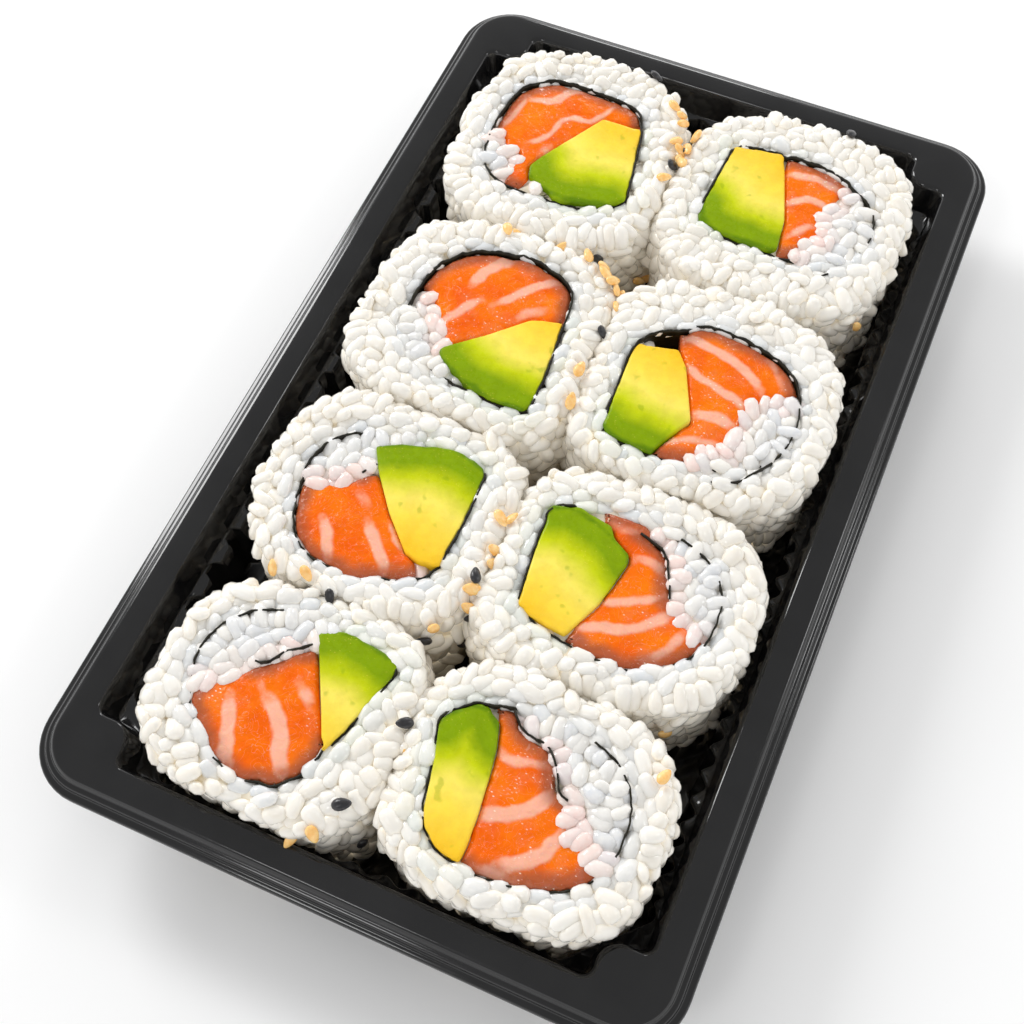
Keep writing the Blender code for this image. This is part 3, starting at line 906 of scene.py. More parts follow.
@dataclass
class Grains:
    """A growing set of grains: where each lies, which way it points, and its tint."""

    places: np.ndarray
    ways: np.ndarray
    ups: np.ndarray
    tints: np.ndarray

    def joined(self, name: str, material: bpy.types.Material, dice: np.random.Generator) -> bpy.types.Object:
        """Join all grains into one mesh.

        Args:
            name: The piece's name.
            material: The finish.
            dice: The source of each grain's form, size and roll.

        Returns:
            The piece.
        """
        count = len(self.places)
        kinds = dice.choice(len(GRAIN_SHAPES), count, p=(0.24, 0.22, 0.16, 0.15, 0.15, 0.08))
        sizes = dice.uniform(0.92, 1.08, count)
        lean = dice.normal(0.0, 0.32, count)
        side = np.cross(self.ups, self.ways)
        side /= np.linalg.norm(side, axis=1, keepdims=True)
        up = np.cross(self.ways, side)
        turned_side = side * np.cos(lean)[:, None] + up * np.sin(lean)[:, None]
        turned_up = up * np.cos(lean)[:, None] - side * np.sin(lean)[:, None]
        axes = np.stack((self.ways, turned_side, turned_up), axis=2) * sizes[:, None, None]
        all_points, all_faces, all_tints = [], [], []
        base = 0
        for kind, grain in enumerate(GRAIN_SHAPES):
            points, faces = grain.make()
            chosen = np.nonzero(kinds == kind)[0]
            turned = np.einsum("vj,gij->gvi", points, axes[chosen])
            moved = turned + self.places[chosen][:, None, :]
            starts = base + np.arange(len(chosen)) * len(points)
            all_points.append(moved.reshape(-1, 3))
            all_faces.append((faces[None] + starts[:, None, None]).reshape(-1, 3))
            # Painted shade: the part of each grain below its middle is tinted towards the crease colour. The alpha
            # keeps that share for the painted glow of the rice material.
            height = np.einsum("gvi,gi->gv", turned, self.ups[chosen]) / (grain.thickness / 2)
            sunk = np.clip((0.35 - height) / 1.1, 0.0, 1.0)[:, :, None] * PAINTED_CREASE_SHARE
            tints = self.tints[chosen][:, None, :] * (1 - sunk) + PAINTED_CREASE_SHADE * sunk
            all_tints.append(np.concatenate((tints, sunk / PAINTED_CREASE_SHARE), axis=2).reshape(-1, 4))
            base += len(chosen) * len(points)
        return joined_piece(name, np.vstack(all_points), np.vstack(all_faces), np.vstack(all_tints), material)


def joined_piece(name: str, points: np.ndarray, faces: np.ndarray, tints: np.ndarray,
                 material: bpy.types.Material) -> bpy.types.Object:
    """Make one piece of many joined copies.

    Args:
        name: The piece's name.
        points: All points, in millimetres.
        faces: All triangles, as point numbers.
        tints: The colour and alpha of each point.
        material: The finish.

    Returns:
        The piece.
    """
    mesh = bpy.data.meshes.new(name)
    mesh.vertices.add(len(points))
    mesh.vertices.foreach_set("co", (points * MM).astype(np.float32).ravel())
    mesh.loops.add(faces.size)
    mesh.loops.foreach_set("vertex_index", faces.astype(np.int32).ravel())
    mesh.polygons.add(len(faces))
    mesh.polygons.foreach_set("loop_start", np.arange(0, faces.size, 3, dtype=np.int32))
    mesh.update(calc_edges=True)
    layer = mesh.attributes.new(TINT, "FLOAT_COLOR", "POINT")
    layer.data.foreach_set("color", tints.astype(np.float32).ravel())
    return finish_object(name, mesh, material)


Held = tuple[np.ndarray, np.ndarray, np.ndarray]


@dataclass
class RicePacking:
    """Packs the grains of one roll so that they lie close together and hardly overlap.

    A grain counts as three balls in a row. The balls of neighbours push each other apart, and after
    each push the grain is put back at its own depth below the roll's surface.
    """

    form: RollForm
    others: list[RollForm]
    dice: np.random.Generator
    arm: float = 1.35
    ball: float = 1.18
    rounds: int = 26
    top_area: float = 7.8
    side_area: float = 9.0
    hidden_below: float = 15.0
    back_gap: float = 0.7
    front_gap: float = 0.1
    buried_gap: float = -0.3
    dip: float = 0.8

    def start_top(self, depth: tuple[float, float]) -> tuple[np.ndarray, np.ndarray]:
        """Scatter grains over the top, at depths in a range, and return places and depths."""
        outer = self.form.outer_point(np.linspace(0, TAU, 90, endpoint=False), self.form.top - 3.0)
        area = signed_area(outer) - signed_area(self.form.hole)
        low, high = outer.min(axis=0), outer.max(axis=0)
        spots = self.dice.uniform(low, high, (6000, 2))
        inside = outline_distance(spots, outer)[0] < -2.0
        clear = outline_distance(spots, self.form.hole)[0] > 0.4 - 1.2 * self.form.is_buried(spots)
        spots = spots[inside & clear][:int(area / self.top_area)]
        depths = self.dice.uniform(*depth, len(spots))
        return np.column_stack((spots, np.full(len(spots), self.form.top))), depths

    def start_side(self, depth: tuple[float, float], lowest: float) -> tuple[np.ndarray, np.ndarray]:
        """Scatter grains over the outer side down to a height, thinly where a neighbour hides them."""
        height = self.form.top - self.form.shoulder - lowest
        outer = self.form.outer_point(np.linspace(0, TAU, 90, endpoint=False), self.form.top - 6.0)
        around = float(np.sum(np.hypot(*(np.roll(outer, -1, axis=0) - outer).T)))
        count = int(around * height / self.side_area)
        angle = self.dice.uniform(-math.pi, math.pi, count)
        level = self.dice.uniform(lowest, self.form.top - self.form.shoulder * 0.6, count)
        radius = self.form.edge_radius(angle, level)
        places = np.column_stack((self.form.middle[0] + np.cos(angle) * radius,
                                  self.form.middle[1] + np.sin(angle) * radius, level))
        hidden = np.zeros(count, bool)
        for other in self.others:
            hidden |= other.surface(places)[0] < 2.2
        seen = ~hidden | (level > self.form.top - self.hidden_below)
        return places[seen], self.dice.uniform(*depth, int(seen.sum()))

    def hold_ring(self, places: np.ndarray, ways: np.ndarray, depths: np.ndarray, tilts: np.ndarray) -> Held:
        """Put grains back at their depth, outside the seaweed and above the tray's floor.

        Args:
            places: Where the grains are.
            ways: Where they point.
            depths: How far below the roll's surface each belongs.
            tilts: How far each leans out of the surface, as a sine.

        Returns:
            The new places and directions, and the surface normals.
        """
        gap, way = outline_distance(places[:, :2], self.form.hole)
        front = np.clip(-2.0 * way[:, 1], 0.0, 1.0)
        buried = self.form.is_buried(places[:, :2])
        wanted = self.back_gap + (self.front_gap - self.back_gap) * front
        wanted += (self.buried_gap - wanted) * buried
        places[:, :2] += way * np.maximum(0.0, wanted - gap)[:, None]
        distance, normal = self.form.surface(places)
        sunk = depths + self.dip * np.clip(1 - np.maximum(gap, wanted) / 3.0, 0.0, 1.0)
        places -= normal * (distance + sunk)[:, None]
        places[:, 2] = np.maximum(places[:, 2], self.form.low + 2.8)
        near = np.clip((4.0 - gap) / 4.0, 0.0, 1.0) * 0.45
        along = np.column_stack((-way[:, 1], way[:, 0], np.zeros(len(way))))
        facing = np.sign(np.sum(ways * along, axis=1))
        ways = ways + along * (near * facing)[:, None]
        return places, self.level_ways(ways, normal, tilts), normal

    @staticmethod
    def level_ways(ways: np.ndarray, normal: np.ndarray, tilts: np.ndarray) -> np.ndarray:
        """Lay grains along the surface, each with its own tilt out of it."""
        flat = ways - normal * np.sum(ways * normal, axis=1, keepdims=True)
        flat /= np.maximum(np.linalg.norm(flat, axis=1, keepdims=True), 1e-6)
        return flat * np.sqrt(1 - tilts ** 2)[:, None] + normal * tilts[:, None]

    def settle(self, places: np.ndarray, hold: Callable[..., Held], tilt: float) -> Held:
        """Push grains apart for some rounds.

        Args:
            places: Where they start.
            hold: A function of places, ways and tilts that puts them back where they belong.
            tilt: How far they may tilt out of the surface, as a sine.

        Returns:
            Places, directions and surface normals.
        """
        count = len(places)
        ways = self.dice.normal(size=(count, 3))
        tilts = np.clip(self.dice.normal(0.0, tilt, count), -0.8, 0.8)
        places, ways, normal = hold(places, ways, tilts)
        first = second = np.zeros(0, int)
        for step in range(self.rounds):
            if step % 3 == 0:
                gaps = np.linalg.norm(places[:, None] - places[None], axis=2)
                first, second = np.nonzero(np.triu(gaps < 2 * (self.arm + self.ball), 1))
            push = np.zeros_like(places)
            twist = np.zeros_like(places)
            for mine in (-1, 0, 1):
                for theirs in (-1, 0, 1):
                    gap = places[first] + ways[first] * (mine * self.arm)
                    gap -= places[second] + ways[second] * (theirs * self.arm)
                    length = np.maximum(np.linalg.norm(gap, axis=1, keepdims=True), 1e-6)
                    force = gap / length * np.maximum(0.0, 2 * self.ball - length) * 0.22
                    np.add.at(push, first, force)
                    np.add.at(push, second, -force)
                    np.add.at(twist, first, force * mine)
                    np.add.at(twist, second, -force * theirs)
            places = places + np.clip(push, -0.8, 0.8)
            ways = ways + twist * 0.5
            places, ways, normal = hold(places, ways, tilts)
        return places, ways, normal

    def pack_ring(self) -> Grains:
        """Pack the outer ring: one full layer over the core."""
        top, top_depths = self.start_top((0.6, 1.15))
        side, side_depths = self.start_side((0.6, 1.15), self.form.low + 3.0)
        depths = np.concatenate((top_depths, side_depths))
        depths += np.where(self.dice.random(len(depths)) < 0.42, 0.75, 0.0)

        def hold(spots: np.ndarray, ways: np.ndarray, tilts: np.ndarray) -> Held:
            """Hold each grain at its own depth."""
            return self.hold_ring(spots, ways, depths, tilts)

        places, ways, normal = self.settle(np.vstack((top, side)), hold, 0.26)
        return Grains(places, ways, normal, self.ring_tints(places))

    def pack_pocket(self) -> Grains:
        """Pack the rice inside the seaweed sheet, two layers deep, wherever there is no filling."""
        form = self.form
        top = form.filling_top("pocket")
        low, high = form.core.min(axis=0), form.core.max(axis=0)
        spots = self.dice.uniform(low, high, (2600, 2))
        free = form.pocket_room(spots) > 0.5
        count = int(free.mean() * float(np.prod(high - low)) / 6.2)
        spots = spots[free]
        spots = np.vstack((spots[:count], spots[count:2 * count]))
        depths = np.concatenate((self.dice.uniform(0.0, 0.8, count), self.dice.uniform(1.4, 2.3, len(spots) - count)))
        up = np.array((0.0, 0.0, 1.0))

        def hold(places: np.ndarray, ways: np.ndarray, tilts: np.ndarray) -> Held:
            """Hold grains inside the sheet, off the fillings and at their depths."""
            flat = form.clear_hollows(places[:, :2])
            flat = keep_outside(keep_outside(flat, form.avocado, 0.9), form.salmon, 0.2)
            salmon_way = outline_distance(flat, form.salmon)[1]
            for strip in form.strips:
                distance, way = line_distance(flat, strip)
                beside = outline_distance(strip, form.salmon)[0].mean() < 2.0
                wrong = (np.sum(way * salmon_way, axis=1) < 0.0) & (distance < 3.0) & beside
                shift = np.where(wrong, -distance - 1.4, np.maximum(0.0, 1.4 - distance))
                flat = flat + way * shift[:, None]
            flat = keep_inside(flat, form.core, 0.9)
            normal = np.broadcast_to(up, places.shape)
            return np.column_stack((flat, top - depths)), self.level_ways(ways, normal, tilts), normal

        places, ways, normal = self.settle(np.column_stack((spots, top - depths)), hold, 0.28)
        kept = outline_distance(places[:, :2], form.salmon)[0] > 0.1
        kept &= outline_distance(places[:, :2], form.avocado)[0] > 0.6
        return Grains(places[kept], ways[kept], normal[kept], self.pocket_tints(places[kept]))

    def plain_tints(self, count: int) -> np.ndarray:
        """Tints of clean grains, from white to cream."""
        share = self.dice.uniform(0.0, 1.0, (count, 1))
        return np.array((0.925, 0.895, 0.83)) * share + np.array((0.885, 0.83, 0.735)) * (1 - share)

    def blended(self, tints: np.ndarray, target: tuple[float, float, float], share: np.ndarray) -> np.ndarray:
        """Mix tints with one colour, by a share for each grain."""
        return tints * (1 - share[:, None]) + np.array(target) * share[:, None]

    def ring_tints(self, places: np.ndarray) -> np.ndarray:
        """Tint the ring: creamier lower down as painted shade, grey and clear by the seaweed, faintly green by the
        avocado.
        """
        tints = self.plain_tints(len(places))
        # Painted shade: grains further below the top are tinted towards a darker cream.
        deep = np.clip((self.form.top - 3.0 - places[:, 2]) / 16.0, 0.0, 1.0)
        tints = self.blended(tints, (0.82, 0.74, 0.60), deep * 0.7)
        gap = outline_distance(places[:, :2], self.form.hole)[0]
        clear = np.clip((3.4 - gap) / 1.8, 0.0, 1.0) * self.dice.uniform(0.2, 1.0, len(places))
        tints = self.blended(tints, (0.66, 0.70, 0.74), clear * 0.8)
        green = outline_distance(places[:, :2], self.form.avocado)[0]
        share = np.clip((5.0 - green) / 3.0, 0.0, 1.0) * self.dice.uniform(0.0, 0.35, len(places))
        return self.blended(tints, (0.78, 0.86, 0.62), share)

    def pocket_tints(self, places: np.ndarray) -> np.ndarray:
        """Tint the pocket: greyer than the ring, and pink by the salmon."""
        tints = self.blended(self.plain_tints(len(places)), (0.66, 0.69, 0.74),
                             self.dice.uniform(0.1, 0.8, len(places)))
        near = outline_distance(places[:, :2], self.form.salmon)[0]
        pink = np.clip((3.8 - near) / 2.4, 0.0, 1.0) * self.dice.uniform(0.3, 1.0, len(places))
        return self.blended(tints, (0.93, 0.66, 0.60), pink)


@dataclass
class RiceCore:
    """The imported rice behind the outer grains: a ring round the seaweed and a plug for the pocket."""

    form: RollForm
    points: int = 144
    depth: float = 1.75
    hole_gap: float = 0.25
    relief: float = 0.4

    def ring_sections(self) -> list[np.ndarray]:
        """The rings of points, from the hole's foot over the top and down the outer side."""
        angles = np.linspace(0, TAU, self.points, endpoint=False)
        hole_middle = self.form.hole.mean(axis=0)
        dense = even_outline(self.form.hole, 4 * self.points) - hole_middle
        order = np.argsort(np.arctan2(dense[:, 1], dense[:, 0]))
        known = np.arctan2(dense[:, 1], dense[:, 0])[order]
        radius = np.interp(angles, known, np.hypot(*dense[order].T), period=TAU) + self.hole_gap
        inner = hole_middle + np.column_stack((np.cos(angles), np.sin(angles))) * radius[:, None]
        outer = self.form.outer_point(angles, self.form.top - 2 * self.form.shoulder)
        foot = self.form.low + 0.3
        top = self.form.top - self.depth
        rings = [np.column_stack((inner, np.full(self.points, level)))
                 for level in (foot, top - 9.0, top - 4.0, top - 1.5)]
        for share in (0.02, 0.2, 0.4, 0.6, 0.78, 0.92, 1.0):
            flat = inner * (1 - share) + outer * share
            rings.append(self.under_surface(np.column_stack((flat, np.full(self.points, self.form.top)))))
        for level in (4.0, 6.0, 8.5, 11.0, 14.0, 18.0, 23.0):
            side = self.form.outer_point(angles, self.form.top - level)
            rings.append(self.under_surface(np.column_stack((side, np.full(self.points, self.form.top - level)))))
        last = rings[-1].copy()
        last[:, 2] = foot
        return rings + [last]

    def under_surface(self, points: np.ndarray) -> np.ndarray:
        """Sink points to the core's depth below the roll's surface."""
        distance, normal = self.form.surface(points)
        return points - normal * (distance + self.depth)[:, None]

    def build(self, material: bpy.types.Material) -> bpy.types.Object:
        """Model the ring of packed rice, with lumps the size of grains.

        Args:
            material: The finish.

        Returns:
            The piece.
        """
        shape = bmesh.new()
        loops = []
        for ring in self.ring_sections():
            verts = [shape.verts.new(point) for point in ring]
            loops.append([shape.edges.new(pair) for pair in zip(verts, verts[1:] + verts[:1])])
        for lower, upper in zip(loops, loops[1:] + loops[:1]):
            bmesh.ops.bridge_loops(shape, edges=lower + upper)
        shape.normal_update()
        bmesh.ops.recalc_face_normals(shape, faces=shape.faces)
        foot = self.form.low + 0.4
        for vert in shape.verts:
            if vert.co.z > foot:
                lump = noise.noise(vert.co * 0.42) + 0.5 * noise.noise(vert.co * 0.9)
                vert.co += vert.normal * lump * self.relief
        return shape_to_object(self.form.prefix + "rice_core", shape, material)


# ---------------------------------------------------------------------------------------------
# Seaweed and fillings
# ---------------------------------------------------------------------------------------------


@dataclass
class NoriSheet:
    """The seaweed sheet round one filling and its folds inside, with ragged upper edges."""

    form: RollForm
    offset: float = 0.35
    thickness: float = 0.36
    points: int = 200
    ragged: float = 0.5
    wave: float = 0.22
    rise: float = 0.45
    buried_drop: float = 3.2
    front_drop: float = 1.0

    def build(self, material: bpy.types.Material) -> bpy.types.Object:
        """Model the sheet as a thin upright band, and its folds as shorter bands.

        Args:
            material: The finish.

        Returns:
            The piece.
        """
        line = even_outline(self.form.core, self.points)
        ways = outline_normals(line)
        line = line + ways * self.offset
        sink = self.buried_drop * self.form.is_buried(line) + self.front_drop * np.clip(-2 * ways[:, 1], 0.0, 1.0)
        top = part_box(self.form.prefix + "nori")[1].z / MM
        shape = bmesh.new()
        self.add_band(shape, line, top + self.rise - sink, self.form.low, True)
        for strip in self.form.strips:
            self.add_band(shape, strip, np.full(len(strip), top + self.rise), top - 7.0, False)
        self.make_ragged(shape, top)
        bmesh.ops.recalc_face_normals(shape, faces=shape.faces)
        bmesh.ops.solidify(shape, geom=list(shape.faces), thickness=self.thickness)
        bmesh.ops.recalc_face_normals(shape, faces=shape.faces)
        return shape_to_object(self.form.prefix + "nori_sheet", shape, material)

    @staticmethod
    def add_band(shape: bmesh.types.BMesh, line: np.ndarray, tops: np.ndarray, low: float, closed: bool) -> None:
        """Add one upright band along a line, from a height up to its tops."""
        rows = []
        for share in (0.0, 0.5, 0.75, 0.9, 0.97, 1.0):
            heights = low + (tops - low) * share
            verts = [shape.verts.new((*spot, height)) for spot, height in zip(line, heights)]
            ends = verts[1:] + verts[:1] if closed else verts[1:]
            rows.append([shape.edges.new(pair) for pair in zip(verts, ends)])
        for lower, upper in zip(rows, rows[1:]):
            bmesh.ops.bridge_loops(shape, edges=lower + upper)

    def make_ragged(self, shape: bmesh.types.BMesh, top: float) -> None:
        """Lift, lower and wave the bands, most at their upper edges."""
        for vert in shape.verts:
            near_top = max(0.0, 1 - (top - vert.co.z) / 9.0)
            flat = Vector((vert.co.x, vert.co.y, self.form.top))
            lift = self.ragged * (noise.noise(flat * 0.55) + 0.6 * noise.noise(flat * 2.1))
            push = self.wave * noise.noise_vector(flat * 0.7) * near_top
            vert.co += Vector((push.x, push.y, lift * near_top))


@dataclass
class Block:
    """A block that runs through the roll, with a softened and slightly uneven top."""

    name: str
    outline: np.ndarray
    low: float
    top: float
    edge: float
    cell: float
    dome: float
    relief: float
    relief_scale: float
    hollows: list[tuple[float, float, float]] = field(default_factory=list)

    def build(self, material: bpy.types.Material,
              pattern: Callable[[np.ndarray], np.ndarray] | None = None) -> bpy.types.Object:
        """Model the block: an upright prism with bevelled top edges, cut into a grid and made uneven.

        Args:
            material: The finish.
            pattern: Gives the values of the attribute PATTERN at places, three for each.

        Returns:
            The piece.
        """
        shape = bmesh.new()
        lower = add_ring(shape, self.outline, self.low)
        upper = add_ring(shape, self.outline, self.top)
        bmesh.ops.bridge_loops(shape, edges=lower + upper)
        bmesh.ops.contextual_create(shape, geom=lower)
        bmesh.ops.contextual_create(shape, geom=upper)
        bmesh.ops.inset_region(shape, faces=[max(shape.faces, key=self.height_of)], thickness=self.edge)
        self.cut_grid(shape)
        bmesh.ops.remove_doubles(shape, verts=shape.verts, dist=MERGE_DISTANCE)
        bmesh.ops.recalc_face_normals(shape, faces=shape.faces)
        self.make_uneven(shape)
        if pattern is not None:
            layer = shape.verts.layers.float_color.new(PATTERN)
            values = pattern(np.array([vert.co.to_2d() for vert in shape.verts]))
            for vert, value in zip(shape.verts, values):
                vert[layer] = (*value, 1.0)
        return shape_to_object(self.name, shape, material)

    @staticmethod
    def height_of(face: bmesh.types.BMFace) -> float:
        """The height of a face's middle."""
        return face.calc_center_median().z

    def cut_grid(self, shape: bmesh.types.BMesh) -> None:
        """Cut the block's top into small cells, so that it can be shaped."""
        low, high = self.outline.min(axis=0), self.outline.max(axis=0)
        for axis in (0, 1):
            facing = Vector((1.0, 0.0, 0.0)) if axis == 0 else Vector((0.0, 1.0, 0.0))
            for place in np.arange(low[axis] + self.cell, high[axis], self.cell):
                faces = [face for face in shape.faces if face.calc_center_median().z > self.top - 0.01]
                parts = list({part for face in faces for part in (*face.verts, *face.edges)}) + faces
                bmesh.ops.bisect_plane(shape, geom=parts, plane_co=facing * place, plane_no=facing,
                                       dist=MERGE_DISTANCE)

    def make_uneven(self, shape: bmesh.types.BMesh) -> None:
        """Round the top's edge, raise a low dome and fine relief on it, and sink its hollows."""
        raised = [vert for vert in shape.verts if vert.co.z > self.top - 0.01]
        points = np.array([vert.co.to_2d() for vert in raised])
        inside = np.maximum(0.0, -outline_distance(points, self.outline)[0])
        middle = Vector((*self.outline.mean(axis=0), 0.0))
        for vert, depth in zip(raised, inside):
            spot = (vert.co + middle) * self.relief_scale
            rough = noise.noise(spot) + 0.5 * noise.noise(spot * 2.3) + 0.3 * noise.noise(spot * 5.1)
            vert.co.z += self.dome * (1 - math.exp(-depth / 2.5)) + self.relief * rough
            rounding = max(0.0, 1 - depth / self.edge)
            vert.co.z -= self.edge * (1 - math.sqrt(max(0.0, 1 - rounding * rounding))) * 0.8
            for x, y, radius in self.hollows:
                if math.hypot(vert.co.x - x, vert.co.y - y) < radius + 4.0:
                    vert.co.z = self.low + 2.0


@dataclass
class Fillings:
    """The salmon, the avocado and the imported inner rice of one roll."""

    form: RollForm
    sway: float = 0.45

    def fat_and_rim(self, points: np.ndarray) -> np.ndarray:
        """The salmon's pattern: the share of fat, and the share of dark rim near the outline."""
        swayed = np.array([noise.noise_vector(Vector((x, y, 3.0)) * 0.35)[:2] for x, y in points])
        spots = points + self.sway * swayed
        fat = np.zeros(len(points))
        for line in self.form.plan.fat_lines:
            curve = open_curve(np.array(line.points) + self.form.core_middle)
            distance = line_distance(spots, curve)[0]
            ends = np.minimum(np.hypot(*(spots - curve[0]).T), np.hypot(*(spots - curve[-1]).T))
            fade = np.clip(0.35 + ends / 4.0, 0.0, 1.0)
            half = line.width / 2 * (0.7 + 0.3 * fade)
            share = np.clip((half + 0.6 - distance) / 1.2, 0.0, 1.0)
            fat = np.maximum(fat, line.strength * share * fade)
        edge = -outline_distance(points, self.form.core)[0]
        for strip in self.form.strips:
            edge = np.minimum(edge, line_distance(points, strip)[0])
        rim = np.clip(1.2 - edge / 4.2, 0.0, 1.0)
        return np.column_stack((fat, rim, np.zeros(len(points))))

    def skin_distance(self, points: np.ndarray) -> np.ndarray:
        """The avocado's pattern: the distance from its skin, as a share of the finish's reach."""
        skin = open_curve(np.array(self.form.plan.skin) + self.form.core_middle, 1)
        away = line_distance(points, skin)[0] / AvocadoFinish.reach
        return np.column_stack((away, away, away))

    def build_salmon(self, material: bpy.types.Material) -> bpy.types.Object:
        """Model the salmon."""
        top = self.form.filling_top("salmon")
        block = Block(self.form.prefix + "salmon_piece", self.form.salmon, self.form.low, top,
                      1.0, 0.55, 0.5, 0.20, 0.42)
        return block.build(material, self.fat_and_rim)

    def build_avocado(self, material: bpy.types.Material) -> bpy.types.Object:
        """Model the avocado."""
        top = self.form.filling_top("avocado") + 0.5
        block = Block(self.form.prefix + "avocado_piece", self.form.avocado, self.form.low, top,
                      0.3, 0.8, 0.25, 0.07, 0.25)
        return block.build(material, self.skin_distance)

    def build_plug(self, material: bpy.types.Material) -> bpy.types.Object:
        """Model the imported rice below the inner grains."""
        form = self.form
        outline = form.core - outline_normals(form.core) * 1.0
        top = form.filling_top("pocket") - 2.1
        hollows = [(x + form.core_middle[0], y + form.core_middle[1], radius)
                   for x, y, radius in form.plan.hollows]
        block = Block(form.prefix + "pocket_core", even_outline(outline, 120), form.low + 0.3, top,
                      0.3, 1.4, 0.0, 0.25, 0.5, hollows)
        return block.build(material)


# ---------------------------------------------------------------------------------------------
# Sesame
# ---------------------------------------------------------------------------------------------


class SeedKind(Enum):
    """The two colours of sesame."""

    TAN = "tan"
    BLACK = "black"


@dataclass
class SesameSeeds:
    """All seeds of one colour, stuck to the rolls."""

    kind: SeedKind
    finish: SeedFinish
    length: float = 4.0
    width: float = 2.7
    thickness: float = 1.6
    places: list[Vector] = field(default_factory=list)
    normals: list[Vector] = field(default_factory=list)

    def seed_shape(self) -> tuple[np.ndarray, np.ndarray]:
        """Model one drop-shaped seed along X about the origin, as points and triangles."""
        shape = bmesh.new()
        bmesh.ops.create_uvsphere(shape, u_segments=10, v_segments=8, radius=1.0)
        bmesh.ops.rotate(shape, verts=shape.verts, matrix=Matrix.Rotation(math.pi / 2, 3, "Y"))
        for vert in shape.verts:
            narrow = 0.82 - 0.20 * vert.co.x if vert.co.x > -0.6 else 0.94
            vert.co = Vector((vert.co.x * self.length / 2, vert.co.y * self.width / 2 * narrow * 1.1,
                              vert.co.z * self.thickness / 2 * narrow * 1.1))
        bmesh.ops.triangulate(shape, faces=shape.faces)
        bmesh.ops.recalc_face_normals(shape, faces=shape.faces)
        shape.verts.index_update()
        points = np.array([vert.co for vert in shape.verts])
        faces = np.array([[vert.index for vert in face.verts] for face in shape.faces])
        shape.free()
        return points, faces

    def stick(self, form: RollForm, bearing: float, drop: float, inward: float) -> None:
        """Stick a seed to a roll's outside.

        Args:
            form: The roll.
            bearing: The direction from the roll's middle, in degrees.
            drop: How far below the roll's top.
            inward: How far in over the top from the edge, for a seed on the top.
        """
        angle = np.array([math.radians(bearing)])
        level = form.top - drop
        edge = form.outer_point(angle, min(level, form.top - 3.0))[0] - form.middle
        edge *= 1 - inward / np.linalg.norm(edge)
        spot = np.array([[*(form.middle + edge), level]])
        distance, normal = form.surface(spot)
        place = spot[0] - normal[0] * (distance[0] - 1.25)
        self.places.append(Vector(place))
        self.normals.append(Vector(normal[0]))

    def build(self, dice: random.Random) -> bpy.types.Object:
        """Join the seeds into one piece, each turned its own way."""
        points, faces = self.seed_shape()
        all_points, all_faces = [], []
        for index, (place, normal) in enumerate(zip(self.places, self.normals)):
            turn = normal.to_track_quat("Z", "X").to_matrix() @ Matrix.Rotation(dice.uniform(0, TAU), 3, "Z")
            tip = Matrix.Rotation(dice.gauss(0, 0.25), 3, "Y")
            size = dice.uniform(0.88, 1.06)
            moved = points @ np.array(turn @ tip).T * size + np.array(place)
            all_points.append(moved)
            all_faces.append(faces + index * len(points))
        joined = np.vstack(all_points)
        tints = np.ones((len(joined), 4))
        return joined_piece(f"sesame_{self.kind.value}", joined, np.vstack(all_faces), tints, self.finish.make())


# ---------------------------------------------------------------------------------------------
# Tray
# ---------------------------------------------------------------------------------------------


def rounded_run(corners: list[tuple[float, float, float]], steps: int = 10) -> np.ndarray:
    """An open run of points through corners, given as (x, y, radius), each rounded by an arc."""
    points = [np.array(corners[0][:2])]
    for before, (x, y, radius), after in zip(corners, corners[1:], corners[2:]):
        start = math.atan2(before[1] - y, before[0] - x)
        end = math.atan2(after[1] - y, after[0] - x)
        turn = (end - start + math.pi) % TAU - math.pi
        middle = start + turn / 2
        centre = np.array((x, y)) + np.array((math.cos(middle), math.sin(middle))) * radius / math.sin(abs(turn) / 2)
        sweep = math.copysign(math.pi - abs(turn), -turn)
        first = middle + math.pi - sweep / 2
        for step in range(steps + 1):
            angle = first + sweep * step / steps
            points.append(centre + np.array((math.cos(angle), math.sin(angle))) * radius)
    points.append(np.array(corners[-1][:2]))
    return np.array(points)


